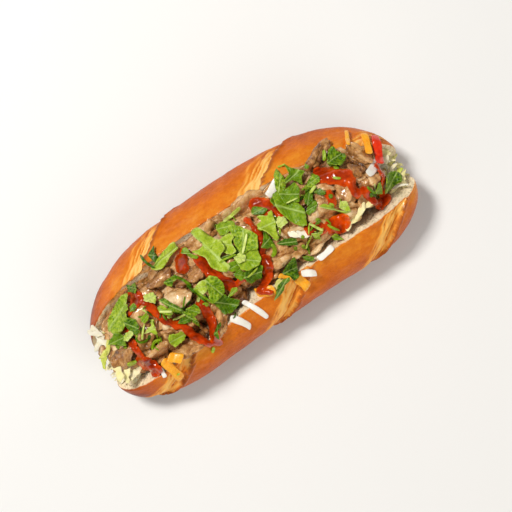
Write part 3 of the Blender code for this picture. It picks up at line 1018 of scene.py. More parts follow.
def fill_ends():
    """Shreds packed into the two open ends of the split, between its leaning walls."""
    random = np.random.default_rng(21)
    batch = Batch()
    for end, count in ENDS:
        for _ in range(count):
            x = end * random.uniform(99, 112) * MM
            up = random.uniform(3, 25) * MM
            wall = up * math.tan(lean(x)) * WALL_SHARE
            y = roll_shift + centre_line(x) + random.uniform(-1, 1) * wall
            heading = random.normal(0, 0.6) + (math.pi if random.random() < 0.5 else 0)
            size = random.uniform(14, 24) * MM, random.uniform(1.8, 3.4) * MM
            place = (x, y, HINGE_HEIGHT + up)
            tone = np.clip(random.normal(0.28, 0.25), 0, 1)
            add_shred(batch, random, place, heading, random.normal(0, 0.35), size, tone)
    return batch


# Shreds that lie in sight: place x and y, heading in degrees, length and width in mm, and tone.
SHREDS_IN_SIGHT = (
    (-112, 7, 75, 16, 5, 0.05),
    (-114, 2, 20, 12, 4, 0.08),
    (-110, 0, -60, 11, 4.5, 0.12),
    (-113, 9, 110, 11, 3.5, 0.05),
    (-112, -4, 35, 15, 3.5, 0.72),
    (-116, -9, 50, 12, 3.2, 0.85),
    (-112, -20, 80, 14, 5, 0.40),
    (-108, -25, 60, 12, 4, 0.35),
    (-103, -27, 30, 12, 4, 0.30),
    (68, -18.5, 25, 14, 4, 0.42),
    (76, -15, 40, 13, 3.5, 0.38),
    (83, -14.5, -30, 12, 3, 0.45),
    (110, 10, -20, 13, 5, 0.45),
    (107, 5, 30, 12, 4, 0.25),
    (33, -6, -60, 12, 4, 0.10),
    (38, -8, -35, 12, 4, 0.08),
    (9, -27, 30, 13, 4, 0.62),
)


def lay_shreds(batch):
    """The shreds in sight, laid on the map of heights."""
    random = np.random.default_rng(33)
    for x, y, heading, length, width, tone in SHREDS_IN_SIGHT:
        x, y = x * MM, y * MM
        height = float(sample(ground_map(3, 20), np.array(x), np.array(y)))
        place = (x, y, height + SHRED_LIFT)
        size = length * MM, width * MM
        pitch = random.normal(0, 0.08)
        stamp(HEIGHTS, add_shred(batch, random, place, math.radians(heading), pitch, size, tone))


bed = make_core(
    "lettuce_bed", "lettuce_core", inset=1.5 * MM, roughness=0.8 * MM, material=lettuce_finish
)
finish_piece(bed, "lettuce", "lettuce_bed")
shreds = finish_piece(fill_ends().build("lettuce_shreds", lettuce_finish), "lettuce", "lettuce_bed")
stamp_object(HEIGHTS, shreds)

# %% [markdown]
# ## Slices of meat
# A thin slice curls and folds as it cooks. Its section is a bent line: the line's direction swings
# from side to side as it is followed, and adding up the short steps in those directions gives the
# curve, with real folds that can even turn under. The outline is ragged and the edge thinner.

# %% A curled slice


def curled_slice(random, length, width, depth, swing, shape):
    """Grid of a curled slice about the origin, its depths, its UV in mm, and how its tone varies.

    Each column runs across the slice. Its direction is a sum of two sines of the distance along it,
    and the running sums of the cosine and sine of that direction give its places across and up.
    """
    u, v = lattice(shape)
    phase = random.uniform(0, 2 * math.pi, 5)
    edge = np.arctan2(v, u)
    ragged = 1 + 0.13 * np.sin(2 * edge + phase[0]) + 0.09 * np.sin(3 * edge + phase[1])
    ragged += 0.05 * np.sin(7 * edge + phase[2])
    along = u * np.sqrt(1 - v * v / 2) * ragged * length / 2
    flat = v * np.sqrt(1 - u * u / 2) * ragged * width / 2
    waves = random.uniform(0.55, 1.15)
    direction = swing * np.sin(waves * math.pi * v + phase[3] + random.uniform(0.3, 1.1) * u)
    direction += 0.45 * swing * np.sin(2.1 * waves * math.pi * v + phase[4] - 1.3 * u)
    step = np.diff(flat, axis=1, prepend=flat[:, :1])
    across = np.cumsum(step * np.cos(direction), axis=1)
    up = np.cumsum(step * np.sin(direction), axis=1)
    across -= across.mean(axis=1, keepdims=True)
    up -= up.mean(axis=1, keepdims=True)
    up += random.uniform(-0.10, 0.22) * along * u
    place = together(along, across, up) + random.uniform(0, 1, 3)
    fibres = rough(together(along * 0.2 + place[..., 0], flat, 0), 2.4 * MM, 13, 2)
    up += 0.55 * MM * rough(place, 5 * MM, 3, 2) + 0.32 * MM * fibres
    reach = np.maximum(np.abs(u), np.abs(v))
    depths = depth * (0.35 + 0.65 * np.sqrt(1 - reach**4)) * (1 + 0.3 * noise(place, 3 * MM, 5))
    uv = together(along / MM, flat / MM) + random.uniform(0, 90, 2)
    # Painted shade and light: fold valleys are darker and crests lighter. The darker edge is its real
    # browning.
    fold_light_and_shade = np.clip((up - up.mean()) / (2 * MM), -1, 1)
    shade = 0.16 * fibres - 0.20 * reach**5 + 0.12 * fold_light_and_shade
    return together(along, across, up), depths, uv, shade


PRESS_FROM, PRESS_SHARE = 52 * MM, 0.55
DROOP = 7 * MM  # no slice hangs further than this below its middle
TOUCHING = 12  # percent of a slice's points that may lie below where it rests


def press(heights):
    """Above a chosen height only a share of the rise is kept, as if a hand had pressed the top."""
    return np.minimum(heights, PRESS_FROM) + PRESS_SHARE * np.maximum(heights - PRESS_FROM, 0.0)


def lay(shape, x, y, heading, ground, lift, follow=0.8):
    """Turns a grid to its heading and sets it down on the ground, which it follows by a share."""
    px, py = turned(shape[..., 0], shape[..., 1], heading, x, y)
    under = sample(ground, px, py)
    base = np.median(under)
    under = np.maximum(under, base - DROOP)
    up = shape[..., 2] - np.percentile(shape[..., 2], TOUCHING)
    return together(px, py, press(base + follow * (under - base) + up + lift))


def add_slice(batch, random, spot, size, depth, swing, ground, tone, shape=(20, 15)):
    """Makes, lays and thickens one slice, adds it to a batch and raises the map under it."""
    grid, depths, uv, shade = curled_slice(random, *size, depth, swing, shape)
    grid = lay(grid, *spot, ground, depth / 2)
    stamp(HEIGHTS, batch.add_sheet(grid, depths, uv, tone + shade))


# %% [markdown]
# Small slices cover the heap in a shuffled order. They keep away from the walls by a distance that
# changes along the roll, so that crumb shows between the meat and the crust.

# %% Slices that fill the heap
FILL_STEP_X, FILL_STEP_Y = 9.0 * MM, 10.0 * MM
REAR_FROM = 0.28  # share of the heap's width
# How far the middles of the slices stay from the walls, in mm, at places along the roll in mm.
REAR_BARE = ((-110, -90, -50, -30, 0, 30, 60, 80, 105), (11, 11, 11, 7, 4, 6, 4, 2, 8))
FRONT_BARE = ((-100, -60, -35, 0, 40, 60, 110), (6, 3, 8, 8, 7, 13, 13))


def fill_heap():
    """Slices over the whole heap on a jittered grid, each laid on the ones before."""
    random = np.random.default_rng(11)
    batch = Batch()
    box_low, box_high = [np.array(corner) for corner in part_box("meat_heap")]
    xs = np.arange(box_low[0] + 7 * MM, box_high[0] - 5 * MM, FILL_STEP_X)
    shares = np.linspace(-0.47, 0.48, math.ceil((box_high[1] - box_low[1]) / FILL_STEP_Y))
    spots = [(x, share) for x in xs for share in shares]
    random.shuffle(spots)
    for x, share in spots:
        x = x + random.uniform(-3.5, 3.5) * MM
        inside = np.flatnonzero(HEAP_TOP[int((x - VIEW_X[0]) / PITCH)] > 5 * MM)
        front, rear = VIEW_Y[inside[0]], VIEW_Y[inside[-1]]
        front = front + np.interp(x / MM, *FRONT_BARE) * MM
        rear = rear - np.interp(x / MM, *REAR_BARE) * MM
        y = (front + rear) / 2 + (share + random.uniform(-0.05, 0.05)) * (rear - front)
        size = random.uniform(13, 24) * MM, random.uniform(11, 19) * MM
        ground = soften(HEIGHTS, 6)
        ground = np.where(HEAP_TOP > 0, np.minimum(ground, HEAP_TOP), ground)
        heading = random.uniform(0, math.pi)
        tone = np.clip(random.normal(0.50, 0.24), 0.05, 0.95)
        depth, swing = random.uniform(2.0, 3.4) * MM, random.uniform(0.5, 1.15)
        if share > REAR_FROM:  # along the rear rim the slices are pale and lie flat, end to end
            heading, swing, depth = 0.12 * (heading - 1.5), 0.35 * swing, 1.4 * MM
            size, tone = (size[0] * 1.3, size[1]), 0.55 + 0.35 * tone
        add_slice(batch, random, (x, y, heading), size, depth, swing, ground, tone)
    return batch


finish_piece(fill_heap().build("meat_filling", meat_finish), "meat", "meat_heap")

# %% [markdown]
# The larger slices on top stand for one loose solid each. A solid's middle, heading and size are
# read from its points seen from above: its long direction is the one in which they spread most.

# %% Slices on top


def lie_of(node):
    """Middle, heading, length and width of a loose piece, from its solid seen from above."""
    flat = corners_of(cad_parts[node]).reshape(-1, 3)[:, :2]
    middle = (flat.min(axis=0) + flat.max(axis=0)) / 2
    flat = flat - flat.mean(axis=0)
    axes = np.linalg.eigh(flat.T @ flat)[1]
    reach = np.ptp(flat @ axes, axis=0)
    return middle, math.atan2(axes[1, 1], axes[0, 1]), reach[1], reach[0]


def nodes_named(label):
    """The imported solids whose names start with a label, in order."""
    return sorted(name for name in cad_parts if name.startswith(label))


CURL_LENGTH, CURL_WIDTH = 1.15, 1.45  # a slice starts larger than its solid, as curling draws it in


def top_slices():
    """Each loose slice of the solids, curled and laid where the solid lies."""
    random = np.random.default_rng(5)
    for node in nodes_named("meat_slice"):
        middle, heading, length, width = lie_of(node)
        batch = Batch()
        ground = ground_map(1, 10)
        size = CURL_LENGTH * length, CURL_WIDTH * width
        tone = np.clip(random.normal(0.55, 0.25), 0.08, 0.82)
        depth = random.uniform(1.8, 2.8) * MM
        spot = (middle[0], middle[1], heading)
        add_slice(batch, random, spot, size, depth, random.uniform(0.7, 1.25), ground, tone, (30, 24))
        finish_piece(batch.build(node + "_curled", meat_finish), "meat", node)


top_slices()
shreds_on_top = Batch()
lay_shreds(shreds_on_top)
finish_piece(shreds_on_top.build("lettuce_on_top", lettuce_finish), "lettuce")
print("highest point so far in mm:", round(HEIGHTS.max() / MM, 1))

# %% [markdown]
# ## Pickled carrot and daikon, and a strip of chilli
# Pickles are cut into flat sticks. Their three colours share one finish, which takes a dark and a
# light colour and streaks them along the stick.

# %% Stick finishes


def make_stick_finish(name, dark, light, sheen):
    """Wet root vegetable: two colours streaked along the stick, with a shallow grain."""
    make = Finish(name)
    uv = make.uv()
    grain = make.noise(make.stretch(uv, (0.12, 1.1, 1.0)), 1.0, detail=2.0)
    patches = make.mottle(make.place(), 0.2, 2.0)
    mixed = grain * 0.6 + patches * 0.4
    colour = make.mix(make.rise(mixed, 0.3, 0.7), dark, light)
    grit = make.grit(make.place(), 0.8)
    height = grain + grit * 0.5
    gloss = grit * 0.25 + sheen
    normal = make.bump(height, 0.25 * MM)
    return make.finish(colour, gloss, normal, Coat_Weight=0.2, Coat_Roughness=0.15)


STICK_KINDS = {
    "carrot": make_stick_finish("carrot", (1.0, 0.33, 0.010), (1.0, 0.52, 0.035), 0.15),
    "daikon": make_stick_finish("daikon", (0.92, 0.86, 0.72), (0.98, 0.96, 0.90), 0.12),
    "chilli": make_stick_finish("chilli", (0.60, 0.010, 0.002), (0.90, 0.055, 0.008), 0.06),
}

# %% [markdown]
# A stick is a rounded box drawn out along a slightly bent line. Its section is a superellipse,
# which shrinks to nothing over the last millimetre of each end, so that both ends are closed and
# their edges stay soft.

# %% Sticks


def stick(random, length, width, depth, shape=(34, 24)):
    """Closed grid of a stick: a superellipse of power 4 round a bent line, drawn in at both ends."""
    stations = np.sin(np.linspace(-math.pi / 2, math.pi / 2, shape[0]))
    turn = np.linspace(0, 2 * math.pi, shape[1], endpoint=False)
    s, angle = np.meshgrid(stations, turn, indexing="ij")
    across = np.sign(np.cos(angle)) * np.abs(np.cos(angle)) ** 0.5
    up = np.sign(np.sin(angle)) * np.abs(np.sin(angle)) ** 0.5
    fullness = (1 - np.abs(s) ** 14) ** 0.5
    uneven = 1 + 0.07 * np.sin(4 * s + random.uniform(0, 6))
    uneven = uneven + 0.05 * noise(together(s * 4, across, up), 1.0, 7)
    skew = 0.18 * width * across * random.uniform(-1, 1)
    bend = random.uniform(-0.07, 0.07) * length * s**2
    y = across * width / 2 * fullness * uneven + bend
    z = up * depth / 2 * fullness * uneven
    x = s * length / 2 + skew * fullness
    uv = together(s * length / MM, angle / (2 * math.pi) * 2 * (width + depth) / MM)
    return together(x, y, z), uv + random.uniform(0, 90, 2)


def tube_quads(rows, columns):
    """Quads between rings of points, with the last point of a ring joined to its first."""
    index = np.arange(rows * columns).reshape(rows, columns)
    index = np.concatenate([index, index[:, :1]], axis=1)
    corners = [index[:-1, :-1], index[:-1, 1:], index[1:, 1:], index[1:, :-1]]
    return np.stack(corners, axis=-1).reshape(-1, 4)


def lay_sticks():
    """A stick for each strip of the solids, bent over what it lies on."""
    random = np.random.default_rng(9)
    for kind, material in STICK_KINDS.items():
        for node in nodes_named(kind + "_strip"):
            middle, heading, length, width = lie_of(node)
            depth = min(3.2 * MM, 0.42 * width + 0.6 * MM)
            grid, uv = stick(random, length, width * 0.95, depth)
            px, py = turned(grid[..., 0], grid[..., 1], heading, *middle)
            ground = ground_map(2, 14)
            under = sample(ground, px.mean(axis=1), py.mean(axis=1))[:, None]
            ends = np.linspace(under[0], under[-1], len(under))
            under = 0.5 * under + 0.5 * (ends + max(0.0, (under - ends).max() * 0.8))
            points = together(px, py, under + grid[..., 2] + depth / 2).reshape(-1, 3)
            batch = Batch()
            batch.add(points, tube_quads(*grid.shape[:2]), uv.reshape(-1, 2), 0.5)
            piece = batch.build(node + "_stick", material)
            weld(piece.data)
            finish_piece(piece, kind, node)
            stamp(HEIGHTS, points)


lay_sticks()

# %% [markdown]
# ## Chilli sauce
# The sauce is squeezed in a zigzag and pools in blobs. It is a skin over whatever is under it: at
# each point of the map its depth falls off as a parabola from the middle of the nearest stroke.
# Where the depth runs below nothing the skin dips into the food, so its edge is a clean curve.

# %% Sauce finish


def make_sauce():
    """Glossy chilli sauce: bright orange-red where thin, deep red where it pools."""
    make = Finish("sauce")
    spot = make.place()
    depth = make.kept("tone")
    patches = make.mottle(spot, 0.10, 3.0)
    shade = make.clamp(depth * 0.45 + patches * 0.55)
    colour = make.ramp(
        shade,
        (0.05, (0.96, 0.190, 0.002)),
        (0.30, (0.78, 0.080, 0.001)),
        (0.60, (0.50, 0.038, 0.001)),
        (0.92, (0.20, 0.012, 0.001)),
    )
    grit = make.grit(spot, 0.25)
    gloss = grit * 0.08 + 0.04
    normal = make.bump(grit, 0.45 * MM)
    return make.finish(colour, gloss, normal, IOR=1.36, Coat_Weight=0.4, Coat_IOR=1.4)


sauce_finish = make_sauce()

# %% [markdown]
# Each stroke is a bent line with a width and a depth. All of them are drawn on one map of depth,
# the greatest winning, and only then is the skin built. So strokes that touch become one pool.

# %% Strokes of sauce
# Each stroke: half width and depth in mm, then the places in mm that it runs through.
STROKES = (
    (6.0, 3.4, (-80.6, 17.4), (-79, 14)),
    (3.0, 2.4, (-75.6, 9.4), (-72, -1), (-68.9, -9), (-65.6, -15.7), (-62.5, -19)),
    (3.2, 2.6, (-62.4, -20.7), (-58, -30), (-53.9, -39)),
    (3.8, 2.8, (-49, -39.5), (-47, -33)),
    (3.6, 2.8, (-46.2, -29.5), (-45, -24)),
    (4.2, 3.0, (-44.5, -20), (-43.2, -12.4)),
    (5.0, 3.6, (-41.5, 15), (-40, 20)),
    (2.6, 2.4, (-39, 21), (-36.5, 25.5)),
    (4.4, 3.2, (-29.2, 13.5), (-27.5, 6)),
    (4.8, 3.4, (-27, 1), (-23.5, -7), (-20.4, -13)),
    (3.0, 2.2, (-19, -13.5), (-13.5, -12.5)),
    (6.2, 2.2, (23, 24), (28, 19)),
    (4.0, 2.0, (30, 18), (33, 10)),
    (2.6, 2.6, (11.4, 19.4), (12.4, 14)),
    (3.2, 2.8, (12.6, 11), (13.0, 4)),
    (2.8, 2.6, (11.6, 0), (9.5, -4)),
    (4.0, 2.8, (8, -9), (5.6, -16)),
    (3.4, 2.2, (4.7, -19), (-5.4, -24.8)),
    (2.8, 2.0, (-6, -25), (-2, -30)),
    (6.4, 2.6, (70, 19), (76, 15), (81, 9)),
    (4.2, 2.2, (82.5, 4), (82.8, -4)),
    (3.6, 2.6, (66.6, 5.5), (66, 0)),
    (4.6, 2.4, (44, -8), (50, -11)),
    (6.4, 2.0, (58, -15), (65, -16)),
    (3.4, 2.4, (88.3, -5.7), (90, -13), (91.7, -17.4)),
    (4.0, 2.2, (93, -18.5), (100, -17.4)),
    (2.2, 2.2, (104.2, 5), (104.2, -4)),
    (3.4, 2.4, (103, -8), (99, -13)),
    (2.6, 2.2, (-97, 3.5), (-96, 0)),
    (2.8, 2.4, (-97, -7), (-96.8, -11)),
    (3.0, 2.4, (-96.5, -15), (-96.3, -19)),
    (5.6, 3.2, (-98.5, -24), (-96, -29), (-94, -33)),
    (3.0, 1.8, (-89, 8), (-85, 11)),
)
SKIN_DEPTH, EDGE_DIP, DEEPEST_TONE = 0.8 * MM, -0.9 * MM, 3.4 * MM
SPREAD = 0.965  # the sauce and the herbs lie this share of their places from the middle
STROKE_WIDTH, STROKE_RISE = 0.86, 1.15  # shares of the half widths and depths above


def stroke_depth(px, py, half, depth, places):
    """Depth of one stroke: depth times (1 - (distance / half width)^2)^0.6.

    The distance is the one to the nearest of the stroke's straight runs.
    """
    nearest = np.full(px.shape, 1e9)
    for (ax, ay), (bx, by) in zip(places, places[1:]):
        dx, dy = bx - ax, by - ay
        share = np.clip(((px - ax) * dx + (py - ay) * dy) / (dx * dx + dy * dy), 0, 1)
        nearest = np.minimum(nearest, np.hypot(px - ax - share * dx, py - ay - share * dy))
    fall = 1 - (nearest / half) ** 2
    return depth * np.where(fall > 0, np.abs(fall) ** 0.6, 1.5 * fall)


def pour_sauce():
    """All the strokes as one depth on the map, with wavering edges; strokes that meet flow together."""
    px, py = np.meshgrid(VIEW_X / MM, VIEW_Y / MM, indexing="ij")
    flat = together(px, py, 0)
    wx, wy = px + 1.0 * rough(flat, 5.0, 91, 2), py + 1.0 * rough(flat, 5.0, 95, 2)
    total = np.full(px.shape, -9.0)
    for half, depth, *places in STROKES:
        half, depth = half * STROKE_WIDTH, depth * STROKE_RISE
        places = [(x * SPREAD, y * SPREAD) for x, y in places]
        total = np.maximum(total, np.maximum(stroke_depth(wx, wy, half, depth, places), -1.0))
    return total * MM


def skin_over(depth, ground, lowest):
    """Closed points and quads of a skin whose top is ground plus depth, where depth > lowest."""
    keep = depth > lowest
    cells = keep[:-1, :-1] & keep[1:, :-1] & keep[1:, 1:] & keep[:-1, 1:]
    index = np.arange(depth.size).reshape(depth.shape)
    corners = [index[:-1, :-1], index[1:, :-1], index[1:, 1:], index[:-1, 1:]]
    top = np.stack(corners, -1)[cells]
    sides = []
    for a, b, step in ((0, 1, (0, 1)), (1, 2, (-1, 0)), (2, 3, (0, -1)), (3, 0, (1, 0))):
        beyond = np.roll(cells, step[::-1], axis=(1, 0))
        edge = cells & ~beyond
        sides.append(together(corners[b][edge], corners[a][edge]))
    sides = np.concatenate(sides)
    used = np.unique(top)
    place = np.full(depth.size, -1)
    place[used] = np.arange(len(used))
    px, py = np.meshgrid(VIEW_X, VIEW_Y, indexing="ij")
    high = together(px.ravel(), py.ravel(), (ground + depth).ravel())[used]
    deep = high - [0, 0, SKIN_DEPTH]
    count = len(used)
    top, sides = place[top], place[sides]
    walls = together(sides[:, 0], sides[:, 1], sides[:, 1] + count, sides[:, 0] + count)
    quads = np.concatenate([top, top[:, ::-1] + count, walls])
    return np.concatenate([high, deep]), quads, np.tile(depth.ravel()[used], 2)


def build_sauce():
    """The sauce's skin, with its depth kept as its tone."""
    ground = ground_map(2, 16)
    depth = pour_sauce()
    points, quads, tone = skin_over(depth, ground, EDGE_DIP)
    batch = Batch()
    batch.add(points, quads, points[:, :2] / MM, np.clip(tone / DEEPEST_TONE, 0, 1))
    stamp(HEIGHTS, points)
    return batch.build("sauce", sauce_finish)


finish_piece(build_sauce(), "sauce")

# %% [markdown]
# ## Herbs
# The herbs are mostly pieces: a knife has gone through the bunch, so a straight cut crosses the
# lobes of one leaf and the rib of the next. All of them share one finish. The UV map of a leaf
# counts its side veins one way and runs away from its rib the other way, and the veins are drawn
# from that. Mint is quilted, which means that it puffs up between its veins.

# %% Leaf finishes


def make_leaf(name, quilting):
    """Leaf: dark to light green by its tone, with paler veins and rib, puffed up by its quilting."""
    make = Finish(name)
    spot = make.place()
    along, outward = make.split(make.uv())
    tone = make.kept("tone")
    patches = make.mottle(spot, 0.3, 2.0)
    puffs = make.cells(spot, 0.55)
    shade = tone + (patches - 0.55) * 0.42
    shade = make.clamp(shade + (puffs - 0.4) * (0.45 * quilting))
    colour = make.ramp(
        shade,
        (0.02, (0.010, 0.036, 0.001)),
        (0.28, (0.052, 0.140, 0.002)),
        (0.52, (0.180, 0.320, 0.003)),
        (0.75, (0.410, 0.540, 0.030)),
        (0.98, (0.720, 0.800, 0.250)),
    )
    cycle = make.math("ABSOLUTE", make.math("FRACT", along) - 0.5)
    side = make.rise(cycle, 0.40, 0.49)
    rib = make.rise(outward, 0.07, 0.02)
    veins = make.math("MAXIMUM", side * 0.45, rib)
    colour = make.mix(veins * 0.55, colour, (0.54, 0.68, 0.20))
    grit = make.grit(spot, 0.6)
    height = grit * 0.8 - veins * 0.8
    height = height - puffs * (1.8 * quilting)
    gloss = patches * 0.30 + 0.16
    return make.finish(colour, gloss, make.bump(height, 0.40 * MM), Specular_IOR_Level=0.28)


leaf_finish = make_leaf("leaf", 0.0)
mint_finish = make_leaf("mint", 1.0)

# %% [markdown]
# Each large piece is drawn as its own outline from a few corners, which a formula rounds and gives
# teeth. Inside the outline the leaf is a set of rings that shrink to its middle. Chips, stems and
# cut ribbons are simpler: each is one small grid.

# %% Outlines and stems
LEAF_DEPTH = 0.40 * MM
HIGHEST = 60.8 * MM  # the middle of no leaf or strip goes above this
LEAF_GROWTH = 1.10
LEAF_LIFT, BIT_LIFT = 0.5 * MM, 0.4 * MM  # room left between a piece and what it lies on
TOOTH_PITCH = 2.6 * MM
VEIN_PITCH = 2.2 * MM


def leaf_outline(corners, teeth, pointed, steps=84):
    """Closed outline: straight runs between the corners, cut into even steps, rounded, then toothed.

    Rounding averages each point with its two neighbours, twice. A tooth draws a point towards the
    middle by 1 - |cos(pi distance / pitch)|^0.5 for round teeth or by a zigzag for pointed ones.
    """
    closed = np.array(corners, float).reshape(-1, 2) * MM
    closed = np.concatenate([closed, closed[:1]])
    reach = np.concatenate([[0.0], np.cumsum(np.hypot(*np.diff(closed, axis=0).T))])
    s = np.linspace(0, reach[-1], steps, endpoint=False)
    line = np.stack([np.interp(s, reach, closed[:, axis]) for axis in (0, 1)], -1)
    for _ in range(2):
        line = (np.roll(line, 1, axis=0) + 2 * line + np.roll(line, -1, axis=0)) / 4
    turns = s / TOOTH_PITCH
    notch = np.abs(turns % 1.0 - 0.5) * 2 if pointed else 1 - np.abs(np.cos(math.pi * turns)) ** 0.5
    notch = teeth * MM * notch + 0.25 * MM * noise(together(*line.T, 0), 2.0 * MM, 3)
    middle = line.mean(axis=0)
    ray = line - middle
    length = np.hypot(*ray.T)[:, None]
    return middle + ray * (1 - notch[:, None] / np.maximum(length, 1 * MM)), middle


def thicken_disc(middle, depth):
    """Closed points and quads of a sheet of rings round one point, which is the first row repeated."""
    rows, columns = middle.shape[:2]
    wrapped = np.concatenate([middle[:, -1:], middle, middle[:, :1]], axis=1)
    normal = grid_normals(wrapped)[:, 1:-1]
    normal[0] = normal[1].mean(axis=0)
    points = np.concatenate([middle + normal * depth / 2, middle - normal * depth / 2]).reshape(-1, 3)
    top = tube_quads(rows, columns)
    count = rows * columns
    edge = np.append(np.arange(columns), 0) + count - columns
    side = together(edge[:-1], edge[1:], edge[1:] + count, edge[:-1] + count)
    return points, np.concatenate([top, top[:, ::-1] + count, side])


def oval_leaf(length, width, teeth, shape=(7, 5)):
    """A chip of leaf: half width goes as sin(pi u^0.8)^0.8 from base to tip, with saw teeth."""
    u, v = lattice(shape, ahead=(0.01, 0.99))
    saw = (u * 10) % 1.0
    half = width / 2 * np.sin(math.pi * u**0.8) ** 0.8 * (1 + teeth * (saw - 0.5) * np.abs(v) ** 3)
    a = (u - 0.5) * length - 0.10 * length * np.abs(v) * np.sin(math.pi * u)
    return a, v * half, together(u * 8 - 2.6 * np.abs(v), np.abs(v))


def strip_leaf(length, width, bend, shape=(30, 7)):
    """A cut ribbon of leaf or a stem: a line whose direction turns steadily by the bend over its length."""
    s, t = lattice(shape, ahead=(-0.5, 0.5))
    direction = bend * s
    step = length * np.diff(s, axis=0, prepend=s[:1])
    a = np.cumsum(step * np.cos(direction), axis=0)
    b = np.cumsum(step * np.sin(direction), axis=0)
    half = width / 2 * (1 - 0.6 * np.abs(2 * s) ** 5)
    a, b = a - half * t * np.sin(direction), b + half * t * np.cos(direction)
    return a - a.mean(), b - b.mean(), together(0.5, 0.3 + np.abs(t))


def chop(random, a, b, length):
    """Cuts straight across, as a knife does: points beyond a slanting line move back onto it."""
    limit, slope = random.uniform(0.22, 0.42) * length, random.uniform(-0.5, 0.5)
    return np.minimum(a, limit + slope * b), b


# %% [markdown]
# The large pieces have a row each in a table. A piece folds along its rib, ruffles towards its
# edge and lies on the map of heights.

